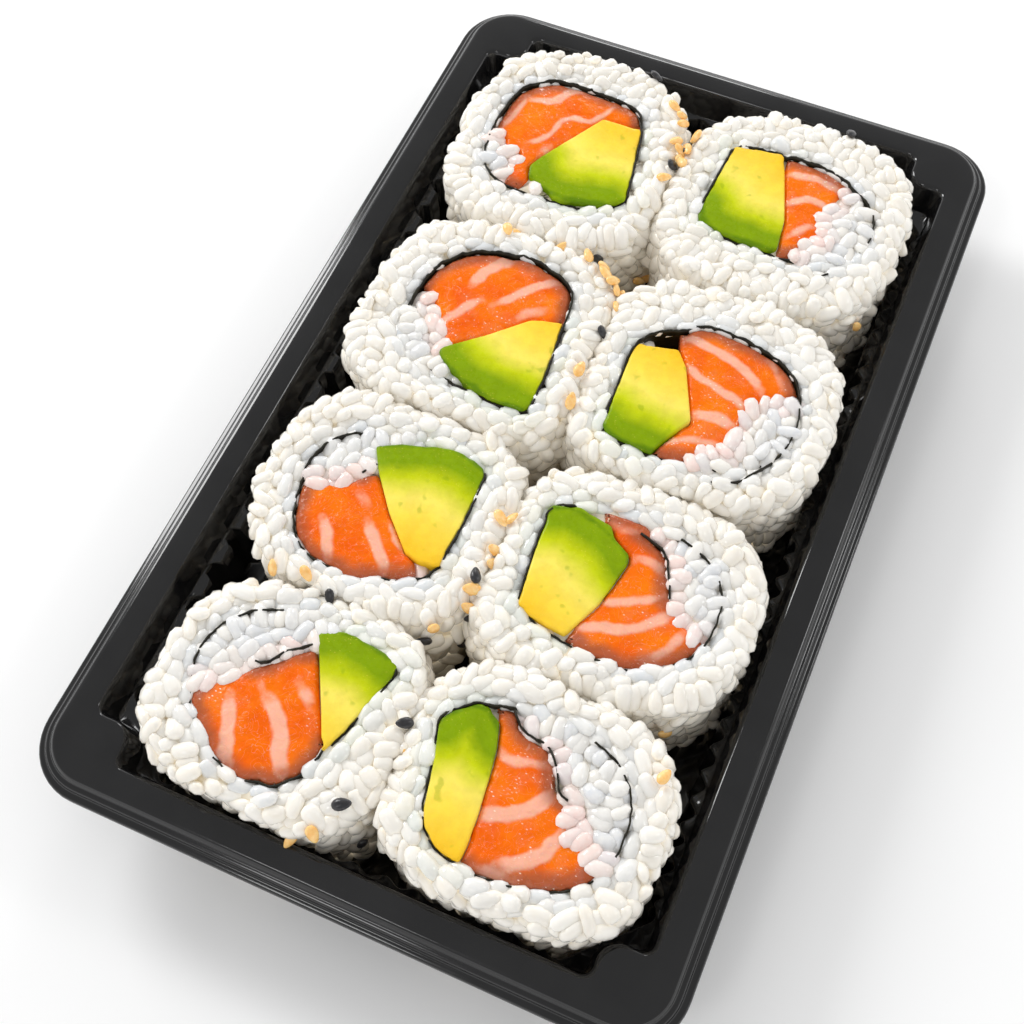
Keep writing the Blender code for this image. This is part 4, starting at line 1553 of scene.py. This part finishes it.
@dataclass
class Tray:
    """The formed tray: floor, ribbed walls, ledge, plain band, rim and stepped lip.

    Each section below is a list of (distance beyond the outline, distance below the rim top).
    """

    quarter_points: int = 220
    sheet: float = 0.45
    lip_reach: float = 3.3
    rim_width: tuple[float, float] = (5.7, 5.5)
    rim_radius: float = 9.5
    step: tuple[float, float] = (8.8, 8.0)
    step_turn: float = 2.2
    step_nose: float = 4.0
    ledge_drop: float = 7.8
    ledge_width: float = 0.5
    corner_cut: float = 13.5
    wall_draft: float = 0.6
    side_rib: float = 2.0
    end_rib: float = 1.2
    rib_pitch: float = 8.6
    flute_pitch: float = 5.6
    end_pitch: float = 6.5
    band: tuple = ((-1.8, 7.8), (-1.62, 7.45), (-1.55, 7.0), (-0.62, 1.7), (-0.46, 1.0), (-0.28, 0.6),
                   (-0.02, 0.28), (0.3, 0.08), (0.7, 0.0))
    lip: tuple = ((-2.6, 0.0), (-1.1, 0.04), (-0.55, 0.12), (-0.2, 0.28), (0.05, 0.55), (0.3, 1.05), (0.45, 1.35),
                  (0.62, 1.5), (0.9, 1.57), (1.25, 1.62), (1.48, 1.76), (1.62, 2.05), (1.75, 2.5), (1.95, 2.74),
                  (2.3, 2.83), (2.8, 2.9), (3.08, 3.05), (3.24, 3.35), (3.3, 3.9))

    def __post_init__(self) -> None:
        """Read the tray's size from its CAD node."""
        low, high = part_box("tray")
        self.top = high.z / MM
        self.rim_half = (high.x / MM - self.lip_reach, high.y / MM - self.lip_reach)
        self.opening_half = (self.rim_half[0] - self.rim_width[0], self.rim_half[1] - self.rim_width[1])
        self.floor = low.z / MM + self.sheet

    def ring(self, corners: list[tuple[float, float, float]]) -> np.ndarray:
        """Mirror one quarter, from the right side's middle to the back's middle, into a full ring."""
        run = rounded_run(corners)
        steps = np.concatenate(([0.0], np.cumsum(np.hypot(*np.diff(run, axis=0).T))))
        places = np.linspace(0.0, steps[-1], self.quarter_points + 1)
        quarter = np.stack([np.interp(places, steps, run[:, axis]) for axis in (0, 1)], axis=1)
        left_back = (quarter * (-1, 1))[::-1]
        left_front = quarter * (-1, -1)
        right_front = (quarter * (1, -1))[::-1]
        return np.vstack((quarter[:-1], left_back[:-1], left_front[:-1], right_front[:-1]))

    def opening_ring(self, beyond: float) -> np.ndarray:
        """The opening with its stepped corners, grown by a distance."""
        half_x, half_y = self.opening_half[0] + beyond, self.opening_half[1] + beyond
        step_x, step_y = half_x - self.step[0], half_y - self.step[1]
        turn = self.step_turn + beyond * 0.5
        return self.ring([(half_x, 0.0, 0.0), (half_x, step_y, turn), (step_x, step_y, self.step_nose - beyond),
                          (step_x, half_y, turn), (0.0, half_y, 0.0)])

    def rim_ring(self, beyond: float) -> np.ndarray:
        """The outside of the rim, grown by a distance."""
        half_x, half_y = self.rim_half[0] + beyond, self.rim_half[1] + beyond
        return self.ring([(half_x, 0.0, 0.0), (half_x, half_y, self.rim_radius + beyond), (0.0, half_y, 0.0)])

    def wall_ring(self, inward: float, ribbed: float = 1.0) -> np.ndarray:
        """The ribbed wall, drawn in by a distance, with its ribs at a share of their depth."""
        edge = self.ledge_width - self.band[0][0] + inward
        half_x, half_y = self.opening_half[0] - edge, self.opening_half[1] - edge
        cut = self.corner_cut
        ring = self.ring([(half_x, 0.0, 0.0), (half_x, half_y - cut, 1.5), (half_x - cut, half_y, 1.5),
                          (0.0, half_y, 0.0)])
        x, y = ring[:, 0].copy(), ring[:, 1].copy()
        side_fade = np.clip((half_y - cut - 2.0 - np.abs(y)) / 1.5, 0.0, 1.0)
        end_fade = np.clip((half_x - cut - 2.0 - np.abs(x)) / 1.5, 0.0, 1.0)
        flat_rib = np.clip((np.cos(TAU * y / self.rib_pitch) + 0.42) * 2.4, 0.0, 1.0)
        flute = 1 - np.abs(np.sin(math.pi * y / self.flute_pitch)) ** 1.6
        bump = 0.5 + 0.5 * np.cos(TAU * x / self.end_pitch)
        on_left = np.where(x < 1 - half_x, flat_rib, 0.0)
        on_right = np.where(x > half_x - 1, flute, 0.0)
        on_end = np.where(np.abs(y) > half_y - 1, bump, 0.0)
        ring[:, 0] += (on_left - on_right) * side_fade * self.side_rib * ribbed
        ring[:, 1] -= np.sign(y) * on_end * end_fade * self.end_rib * ribbed
        return ring

    def rings(self) -> list[tuple[np.ndarray, float]]:
        """All rings with their heights, from the floor to the lip's edge."""
        ledge = self.top - self.ledge_drop
        draft = self.wall_draft
        walls = ((draft + 1.2, self.floor, 0.9), (draft + 0.45, self.floor + 0.12, 1.0),
                 (draft + 0.1, self.floor + 0.5, 1.0), (draft, self.floor + 1.2, 1.0),
                 (draft * 0.5, (self.floor + ledge) / 2, 1.0), (0.1, ledge - 1.4, 1.0), (0.02, ledge - 0.6, 0.98),
                 (-0.1, ledge - 0.2, 0.92), (-0.3, ledge - 0.03, 0.8))
        rings = [(self.wall_ring(inward, ribbed), height) for inward, height, ribbed in walls]
        rings += [(self.opening_ring(beyond), self.top - drop) for beyond, drop in self.band]
        rings += [(self.rim_ring(beyond), self.top - drop) for beyond, drop in self.lip]
        return rings

    def build(self, material: bpy.types.Material) -> bpy.types.Object:
        """Model the tray as one sheet and give it its thickness."""
        shape = bmesh.new()
        loops = [add_ring(shape, outline, height) for outline, height in self.rings()]
        bmesh.ops.contextual_create(shape, geom=loops[0])
        for lower, upper in zip(loops, loops[1:]):
            bmesh.ops.bridge_loops(shape, edges=lower + upper)
        bmesh.ops.recalc_face_normals(shape, faces=shape.faces)
        floor = max(shape.faces, key=lambda face: len(face.verts))
        if floor.normal.z < 0:
            bmesh.ops.reverse_faces(shape, faces=shape.faces)
        tray = shape_to_object("tray_sheet", shape, material)
        wall = tray.modifiers.new("sheet", "SOLIDIFY")
        wall.thickness = self.sheet * MM
        wall.offset = -1.0
        return tray


# ---------------------------------------------------------------------------------------------
# Studio
# ---------------------------------------------------------------------------------------------


@dataclass(frozen=True)
class Lamp:
    """A soft square light that faces the tray, with its place and side in metres and its power in watts."""

    name: str
    place: tuple[float, float, float]
    side: float
    power: float

    def add(self) -> None:
        """Put the light in the scene."""
        light = bpy.data.lights.new(self.name, "AREA")
        light.size = self.side
        light.energy = self.power
        item = bpy.data.objects.new(self.name, light)
        item.location = self.place
        item.rotation_euler = Vector(self.place).to_track_quat("Z", "Y").to_euler()
        bpy.context.scene.collection.objects.link(item)


@dataclass(frozen=True)
class Studio:
    """A pale floor, soft light from the back left, small lights that draw bright edges, and the camera.

    Sky is how bright the surroundings are overhead, and low_sky how bright they are near the ground.
    """

    camera_place: tuple[float, float, float] = (0.05702, -0.14135, 0.28529)
    heading: float = -25.93
    down: float = 63.048
    lean: float = -2.469
    lens: float = 49.46
    floor_side: float = 6.0
    floor_colour: tuple = colour(0.95, 0.95, 0.95)
    sky: float = 0.63
    low_sky: float = 1.7
    lamps: tuple[Lamp, ...] = (
        Lamp("key_light", (-0.86, 0.40, 0.64), 0.36, 6.0),
        Lamp("side_light", (0.70, 0.42, 0.64), 0.20, 1.1),
        Lamp("back_light", (-0.20, 0.88, 0.42), 0.20, 1.1),
        Lamp("front_light", (-0.20, -0.57, 0.80), 0.16, 0.7),
    )

    def add_camera(self) -> None:
        """Place the camera and make it the scene's."""
        turn, pitch, roll = (math.radians(angle) for angle in (self.heading, self.down, self.lean))
        ahead = Vector((math.sin(turn) * math.cos(pitch), math.cos(turn) * math.cos(pitch), -math.sin(pitch)))
        right = Vector((math.cos(turn), -math.sin(turn), 0.0))
        up = right.cross(ahead)
        across = right * math.cos(roll) + up * math.sin(roll)
        upward = up * math.cos(roll) - right * math.sin(roll)
        data = bpy.data.cameras.new("camera")
        data.lens = self.lens
        data.clip_start = 0.01
        item = bpy.data.objects.new("camera", data)
        axes = Matrix((across, upward, -ahead)).transposed().to_4x4()
        item.matrix_world = Matrix.Translation(self.camera_place) @ axes
        bpy.context.scene.collection.objects.link(item)
        bpy.context.scene.camera = item

    def add_floor(self) -> None:
        """Lay the floor that the tray stands on."""
        shape = bmesh.new()
        bmesh.ops.create_grid(shape, x_segments=1, y_segments=1, size=self.floor_side / 2)
        mesh = bpy.data.meshes.new("floor")
        shape.to_mesh(mesh)
        shape.free()
        material, _, shader = new_material("pale_floor")
        shader.inputs["Base Color"].default_value = self.floor_colour
        shader.inputs["Roughness"].default_value = 0.7
        mesh.materials.append(material)
        floor = bpy.data.objects.new("floor", mesh)
        bpy.context.scene.collection.objects.link(floor)

    def add_sky(self) -> None:
        """Surround the scene with white light that is brighter near the ground, as from large side lights."""
        world = bpy.data.worlds.new("sky")
        world.use_nodes = True
        tree = world.node_tree
        sky = tree.nodes["Background"]
        sky.inputs["Color"].default_value = colour(1.0, 1.0, 1.0)
        way = tree.nodes.new("ShaderNodeTexCoord").outputs["Generated"]
        height = add_node(tree, "ShaderNodeSeparateXYZ", {"Vector": way}).outputs["Z"]
        tree.links.new(soft_step(tree, height, 0.12, 0.45, self.low_sky, self.sky), sky.inputs["Strength"])
        bpy.context.scene.world = world

    def build(self) -> None:
        """Set up the whole studio."""
        self.add_camera()
        self.add_floor()
        self.add_sky()
        for lamp in self.lamps:
            lamp.add()
        bpy.context.scene.view_settings.view_transform = "Standard"


# ---------------------------------------------------------------------------------------------
# The object
# ---------------------------------------------------------------------------------------------


ROLL_PLANS = {
    "left_1": RollPlan(
        avocado=((-5.5, -9.5), (-4.5, -12.5), (4, -16), (15, -13.5), (18.5, -10.5), (14.5, 10), (5, 10), (-4, -6)),
        salmon=((-16, -2), (-17, 5.5), (-13.5, 14), (-10.5, 16.5), (-2.5, 17), (5, 16.5), (10, 16), (13.5, 11),
                (5, 10), (-4, -6), (-5.5, -9.5), (-4, -13), (-7.5, -15.5), (-9.5, -13), (-9, -6), (-13, -6)),
        skin=((-5.5, -9.5), (-4.5, -12.5), (4, -16), (15, -13.5)),
        fat_lines=(
            FatLine(((-16, -1.5), (-15.5, 2.5), (-14.5, 6), (-14.5, 10)), 1.3),
            FatLine(((-14, 9.5), (-11.5, 9.5), (-8, 10.5), (-6.5, 13.5), (-5, 16), (-2.5, 16.5)), 2.0),
            FatLine(((-9, -3.5), (-6, -1), (-4.5, 2.5), (-4, 6), (-2, 8), (1.5, 8), (3.5, 9.5), (5, 12.5),
                     (6.5, 15)), 1.3),
            FatLine(((-4.5, -5), (-3.5, -2.5)), 2.2),
        ),
        swells=((0, 0.5), (260, 0), (305, 3), (340, 2.5)),
    ),
    "left_2": RollPlan(
        avocado=((-6, -11), (-5.5, -10), (2, -3.5), (9, 3.5), (11.5, 4.5), (15.5, 5.5), (17, -3.5), (17.5, -12),
                 (17.5, -16), (16.5, -18), (8.5, -18), (-1, -15), (-5, -12.5)),
        salmon=((-5.5, -10), (-9.5, -3.5), (-15, 3.5), (-16, 7.5), (-14, 11.5), (-9.5, 14.5), (-7, 16.5), (-2, 17),
                (0, 18.5), (4.5, 18.5), (8, 17), (12, 14.5), (15.5, 10.5), (16, 5.5), (12, 4), (9, 3), (2, -3.5)),
        skin=((-6, -11), (-5, -12.5), (-1, -15), (8.5, -18), (16.5, -18)),
        fat_lines=(
            FatLine(((-6.5, 7.5), (-5.5, 11.5), (-3.5, 14.5), (-0.5, 17.5)), 2.6),
            FatLine(((-8.5, -4), (-7, -1.5), (-5.5, 1.5), (-3, 4.5)), 2.0),
            FatLine(((0, 4.5), (2.5, 7), (5.5, 11), (8, 14), (11, 15.5)), 2.2),
            FatLine(((5.5, 2), (7, 4.5), (10, 7), (12.5, 8)), 2.4, 0.6),
        ),
        swells=((20, 0.5), (45, 1.5), (70, 0), (185, 0), (208, 2), (230, 0), (290, 0), (320, 3), (345, 1.5)),
    ),
    "left_3": RollPlan(
        avocado=((-6, 11), (-1.5, 13.5), (5.5, 15.5), (9.5, 16), (14, 16), (17.5, 14.5), (18, 2), (17.5, -4),
                 (17.5, -8.5), (13.5, -9.5), (10, -8.5), (3, -1.5), (-3, 6)),
        salmon=((-15, -2.5), (-12, -0.5), (-8, 1), (-5.5, 4), (-3, 6), (3, -1.5), (10, -8.5), (13.5, -10),
                (11, -12.5), (9, -14.5), (4.5, -17), (1.5, -18), (-2.5, -16.5), (-6.5, -14.5), (-9.5, -12.5),
                (-13, -10), (-14, -8.5), (-15, -5)),
        skin=((-6, 11), (-1.5, 13.5), (5.5, 15.5), (9.5, 16), (14, 16), (17.5, 14.5)),
        fat_lines=(
            FatLine(((-8.5, -8), (-6.5, -10.5), (-5, -13.5), (-3.5, -15.5)), 2.4),
            FatLine(((0, -5), (2, -7.5), (5, -10), (8, -14)), 2.3),
            FatLine(((-5.5, 1.5), (-3, -1), (-0.5, -3.5)), 2.2, 0.5),
            FatLine(((4, -2.5), (6, -6), (9, -8), (12.5, -9)), 1.3, 0.8),
            FatLine(((-14, -2.5), (-12, -4.5)), 2.0, 0.4),
        ),
        buried=(38.0, 122.0),
        strips=(((-6, 4.5), (-5, 6), (-4, 7.5)),),
        swells=((20, 0.5), (45, 2), (75, 0), (280, 0), (312, 3.5), (345, 1.5)),
    ),
    "left_4": RollPlan(
        avocado=((2, 14), (5.5, 15.5), (10, 16), (15, 15.5), (19, 14.5), (19.5, 13.5), (17.5, 5.5), (15.5, -1.5),
                 (13.5, -7), (9.5, 0.5)),
        salmon=((-15, -4.5), (-11.5, -2), (-8.5, 0), (-6.5, 3.5), (-2.5, 6), (-0.5, 8.5), (3, 11.5), (7.5, 3),
                (13.5, -7), (12.5, -9.5), (11.5, -12), (11, -13.5), (8, -14.5), (5, -16.5), (0, -18), (-4.5, -16),
                (-8.5, -13), (-14, -8.5), (-15, -6.5)),
        skin=((2, 14), (5.5, 15.5), (10, 16), (15, 15.5), (19, 14.5), (19.5, 13.5)),
        fat_lines=(
            FatLine(((-8, -4), (-6, -7.5), (-4.5, -11), (-3, -15), (-1.5, -16)), 2.6),
            FatLine(((-1, -1.5), (2.5, -4), (5, -7.5), (6, -10), (8.5, -13.5)), 3.0),
            FatLine(((-5, 1.5), (-3.5, 0), (-1, -2)), 2.0, 0.5),
            FatLine(((3, 4), (6, 1.5), (8, 0)), 2.4, 0.7),
            FatLine(((-15, -5), (-13, -7)), 1.6, 0.5),
        ),
        buried=(35.0, 112.0),
        strips=(((-7, 4), (-5, 4), (-3, 6), (-2, 8), (0.5, 10), (3, 12)),),
        swells=((20, 1), (50, 3), (80, 0), (290, 0), (325, 1.5)),
    ),
    "right_1": RollPlan(
        avocado=((-18.5, 12), (-7.5, 14), (-5.5, 9.5), (-1, -4), (0, -12), (-2.5, -13), (-9.5, -13), (-18.5, -11.5),
                 (-19.5, -10), (-19.5, -6.5), (-18.5, 10)),
        salmon=((-7, 14), (-1.5, 14), (3.5, 13.5), (7.5, 12), (10, 11), (8, 7), (7.5, 3), (6, -1), (8.5, -5),
                (5.5, -8.5), (3, -11), (0, -12), (-1, -4), (-5.5, 9.5)),
        skin=((-19.5, -8), (-18.5, -11.5), (-9.5, -13), (-1, -13)),
        fat_lines=(
            FatLine(((-5, 9), (-2, 10), (2, 10.5), (5, 10), (8, 9)), 1.8),
            FatLine(((-2.5, 0.5), (-0.5, 2.5), (2, 4), (5.5, 4), (7.5, 3)), 1.9),
            FatLine(((0.5, -8.5), (2.5, -6), (4.5, -3.5), (6.5, -2.5)), 1.7, 0.8),
        ),
        strips=(((15, -12.5), (12, -14.5), (10.5, -16)),),
        swells=((140, 0), (170, 0.5), (212, 3), (240, 2.5), (270, 0)),
    ),
    "right_2": RollPlan(
        avocado=((-18, -14), (-18, -3.5), (-18.5, 6.5), (-18, 7.5), (-10, 9.5), (-7, 6), (-1.5, -6), (-4, -10.5),
                 (-6.5, -16), (-8, -16.5), (-11, -16), (-17, -15.5)),
        salmon=((-11, 12.5), (-9.5, 15.5), (-6.5, 17.5), (-2.5, 17.5), (3, 17), (7, 16), (11.5, 13), (14.5, 10),
                (15.5, 8), (12, 5), (8.5, 1.5), (8, -2.5), (8, -6), (7, -9.5), (0, -13.5), (-7, -16),
                (-4, -10.5), (-1.5, -6), (-7, 6)),
        skin=((-18, -14), (-17, -15.5), (-11, -16), (-6.5, -16)),
        fat_lines=(
            FatLine(((-10, 13), (-7, 13.5), (-4, 12.5), (0.5, 12), (3.5, 10.5), (7.5, 8.5), (9.5, 6.5)), 2.0),
            FatLine(((-7.5, 6.5), (-4, 5), (-0.5, 4), (4.5, 3), (8, 1)), 1.9),
            FatLine(((-2, -4.5), (1.5, -3.5), (4.5, -3), (7.5, -4)), 2.4),
            FatLine(((-7, -14), (-2.5, -11), (1.5, -9.5), (7, -9)), 1.8, 0.7),
            FatLine(((7.5, 15.5), (10.5, 13), (13, 10), (14.5, 8)), 1.8, 0.6),
        ),
        strips=(((17.5, -9), (13.5, -15), (11, -17), (9, -17), (7.5, -18)),),
        hollows=((-13.5, 12.5, 3.5),),
        swells=((110, 0), (140, 2), (165, 0.5), (195, 0.5), (222, 3), (250, 0)),
    ),
    "right_3": RollPlan(
        avocado=((-20.5, 10.5), (-19.5, 11.5), (-15, 12.5), (-11, 12.3), (-7, 11.5), (-5.5, 9.2), (-1.5, 7),
                 (-1, 5.5), (-2, 0),
                 (-3, -5), (-6.5, -13.5), (-10.5, -13), (-17.5, -11.5), (-18.5, -3.5), (-19, 3), (-19.5, 8)),
        salmon=((-10, 12.5), (-8.5, 13.5), (-6, 14), (-1.5, 13), (1.5, 12), (5.5, 10), (7, 6.5), (9.5, 2),
                (12.5, -2), (15.5, -3.5), (17, -4), (17.5, -8), (14, -11.5), (10, -14), (6, -15.5), (1, -15.5),
                (-2, -16), (-6.5, -14), (-6.5, -13.5), (-3, -5), (-2, 0), (-1.5, 7)),
        skin=((-20.5, 10.5), (-15, 12.5), (-9, 10.5), (-1.5, 7), (-1, 5.5)),
        fat_lines=(
            FatLine(((-1, 6.5), (1.5, 7.5), (5, 7), (7.5, 5.5)), 2.2, 0.7),
            FatLine(((-3.5, -4.5), (1, -3), (4.5, -1), (8.5, 1.5)), 1.7, 0.9),
            FatLine(((-6, -11.5), (-1, -9.5), (4.5, -8), (8, -5), (11, -1)), 2.3),
            FatLine(((9.5, -12.5), (12, -10), (13.5, -6.5), (15, -3.5)), 2.2, 0.8),
            FatLine(((-8.5, 12), (-4.5, 12), (-0.5, 12.5)), 2.0, 0.5),
        ),
        buried=(66.0, 140.0),
        strips=(((-1, 12.5), (1.5, 12), (5.5, 10.5), (7.5, 6), (9.5, 1.5)),),
        swells=((110, 0), (140, 2.5), (165, 1), (195, 1), (222, 4), (250, 0)),
    ),
    "right_4": RollPlan(
        avocado=((-20.5, 7.5), (-19, 10), (-16.5, 12), (-15.5, 13), (-14, 13.5), (-12, 12.5), (-10, 11.5),
                 (-8.5, 7), (-7.5, 1.5), (-6.5, -6), (-6, -12), (-6, -14.5), (-7, -15.5), (-11.5, -14),
                 (-14.5, -12), (-16, -9), (-18, -0.5)),
        salmon=((-13, 14), (-10, 14.5), (-8, 13), (-4.5, 11), (0, 10.5), (2, 9), (3.5, 6.5), (5, 3.5), (8, 1.5),
                (9, -2), (12.5, -3.5), (16.5, -6), (15.5, -8.5), (13.5, -10.5), (10, -12.5), (6, -15),
                (1.5, -15.5), (-3.5, -16), (-5.5, -15), (-6, -12), (-6.5, -6), (-7.5, 1.5), (-10, 11.5)),
        skin=((-20.5, 7.5), (-19, 10), (-15.5, 13), (-12, 12.5), (-8.5, 9)),
        fat_lines=(
            FatLine(((-8, 6.5), (-6, 5.5), (-1.5, 6.5), (2, 7.5)), 2.2, 0.8),
            FatLine(((-6.5, -6), (-2, -4), (2, -1.5), (4, 1.5), (5, 3)), 2.8),
            FatLine(((0.5, -13.5), (3.5, -11.5), (7, -8.5), (8.5, -5), (9, -3)), 2.8),
            FatLine(((-3.5, -15.5), (0, -14.5), (4, -14.5)), 2.4, 0.7),
        ),
        buried=(62.0, 118.0),
        strips=(((-8.5, 14.5), (-6.5, 12.5), (-4, 11), (0, 11), (2, 9), (4, 6.5), (5, 3.5), (7.5, 2.5)),),
        swells=((100, 0), (132, 3.5), (160, 1.5), (185, 0.5), (210, 0)),
    ),
}


SEED_PLACES = {
    SeedKind.TAN: {
        "left_1": ((43, 0, 3), (37, 0.5, 2), (32, 0.5, 2), (20, 0, 2.5), (16, 1, 1.5), (12, 1.5, 0.5),
                   (355, 0.5, 2), (290, 2, 0.5), (270, 2.5, 0.5), (330, 20, 0), (325, 18, 0)),
        "left_2": ((100, 0.5, 2.5), (58, 0.5, 1.5), (50, 1, 1), (46, 0.5, 2), (42, 1, 1), (38, 1.5, 0.5),
                   (36, 3, 0), (30, 2, 0.5), (350, 0.5, 2), (335, 1, 1.5), (335, 3.5, 0), (340, 8, 0)),
        "left_3": ((240, 1.5, 0.5), (255, 0.5, 2), (10, 0.5, 2), (355, 1, 1), (350, 2, 0.5), (335, 1, 1.5),
                   (330, 2.5, 0.5), (315, 2.5, 0), (330, 12, 0), (335, 15, 0)),
        "left_4": ((20, 2.5, 0), (5, 2.5, 0), (0, 3, 0), (300, 6, 0), (310, 2, 0.5)),
        "right_1": ((158, 0.5, 1.5), (166, 0.5, 1), (175, 0.5, 1.5), (322, 9, 0)),
        "right_3": ((170, 1, 1.5), (205, 1.5, 1), (310, 12, 0)),
        "right_4": ((30, 0, 3),),
    },
    SeedKind.BLACK: {
        "left_1": ((65, 0.5, 1.5), (5, 1, 1.5), (12, 4, 0), (305, 3.5, 0)),
        "left_2": ((15, 1.5, 1), (335, 12, 0)),
        "left_3": ((270, 2, 0.5), (340, 0.5, 2), (330, 5.5, 0), (310, 6, 0), (325, 14, 0)),
        "left_4": ((10, 0.5, 1.5), (325, 0, 3), (325, 14, 0)),
        "right_1": ((165, 1, 1), (75, 1, 1)),
    },
}
SEED_FINISHES = {
    SeedKind.TAN: SeedFinish("tan_sesame", colour(1.0, 0.68, 0.30), colour(0.93, 0.50, 0.13), 0.26),
    SeedKind.BLACK: SeedFinish("black_sesame", colour(0.010, 0.010, 0.012), colour(0.03, 0.028, 0.03), 0.28),
}


def add_seeds(forms: list[RollForm]) -> None:
    """Stick the sesame seeds to the rolls."""
    by_name = {form.name: form for form in forms}
    for kind, places in SEED_PLACES.items():
        seeds = SesameSeeds(kind, SEED_FINISHES[kind])
        for name, spots in places.items():
            for bearing, drop, inward in spots:
                seeds.stick(by_name[name], bearing, drop, inward)
        piece = seeds.build(random.Random(7))
        log.info("%s: %d seeds, %d faces", piece.name, len(seeds.places), len(piece.data.polygons))


@dataclass
class Finishes:
    """The finished materials that all rolls share."""

    rice: bpy.types.Material
    core: bpy.types.Material
    nori: bpy.types.Material
    salmon: bpy.types.Material
    avocado: bpy.types.Material


@dataclass
class Roll:
    """One roll, with all of its pieces."""

    form: RollForm
    others: list[RollForm]
    seed: int

    def build(self, finishes: Finishes) -> None:
        """Build the roll's rice, seaweed and fillings, each in the place of its CAD nodes."""
        prefix = self.form.prefix
        dice = np.random.default_rng(self.seed)
        packing = RicePacking(self.form, self.others, dice)
        fillings = Fillings(self.form)
        pieces = (
            (packing.pack_ring().joined(prefix + "rice_grains", finishes.rice, dice), "rice", "rice"),
            (RiceCore(self.form).build(finishes.core), "rice", "rice"),
            (packing.pack_pocket().joined(prefix + "pocket_grains", finishes.rice, dice), "pocket", "inner_rice"),
            (fillings.build_plug(finishes.core), "pocket", "inner_rice"),
            (NoriSheet(self.form).build(finishes.nori), "nori", "nori"),
            (fillings.build_salmon(finishes.salmon), "salmon", "salmon"),
            (fillings.build_avocado(finishes.avocado), "avocado", "avocado"),
        )
        for piece, kind, slot in pieces:
            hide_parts(prefix + kind)
            log.info("%s: %d faces", piece.name, len(piece.data.polygons))


def main() -> None:
    """Build the studio, the tray and the rolls."""
    logging.basicConfig(level=logging.INFO, format="%(message)s")
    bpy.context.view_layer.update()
    Studio().build()
    tray = Tray()
    sheet = tray.build(TrayFinish().make(tray.top))
    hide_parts("tray")
    log.info("%s: %d faces", sheet.name, len(sheet.data.polygons))
    forms = [RollForm(name, plan) for name, plan in ROLL_PLANS.items()]
    finishes = Finishes(RiceFinish().make(), CoreRiceFinish().make(), NoriFinish().make(),
                        SalmonFinish().make(), AvocadoFinish().make())
    for number, form in enumerate(forms):
        others = [other for other in forms if other is not form]
        Roll(form, others, number + 1).build(finishes)
    add_seeds(forms)


if __name__ == "__main__":
    main()
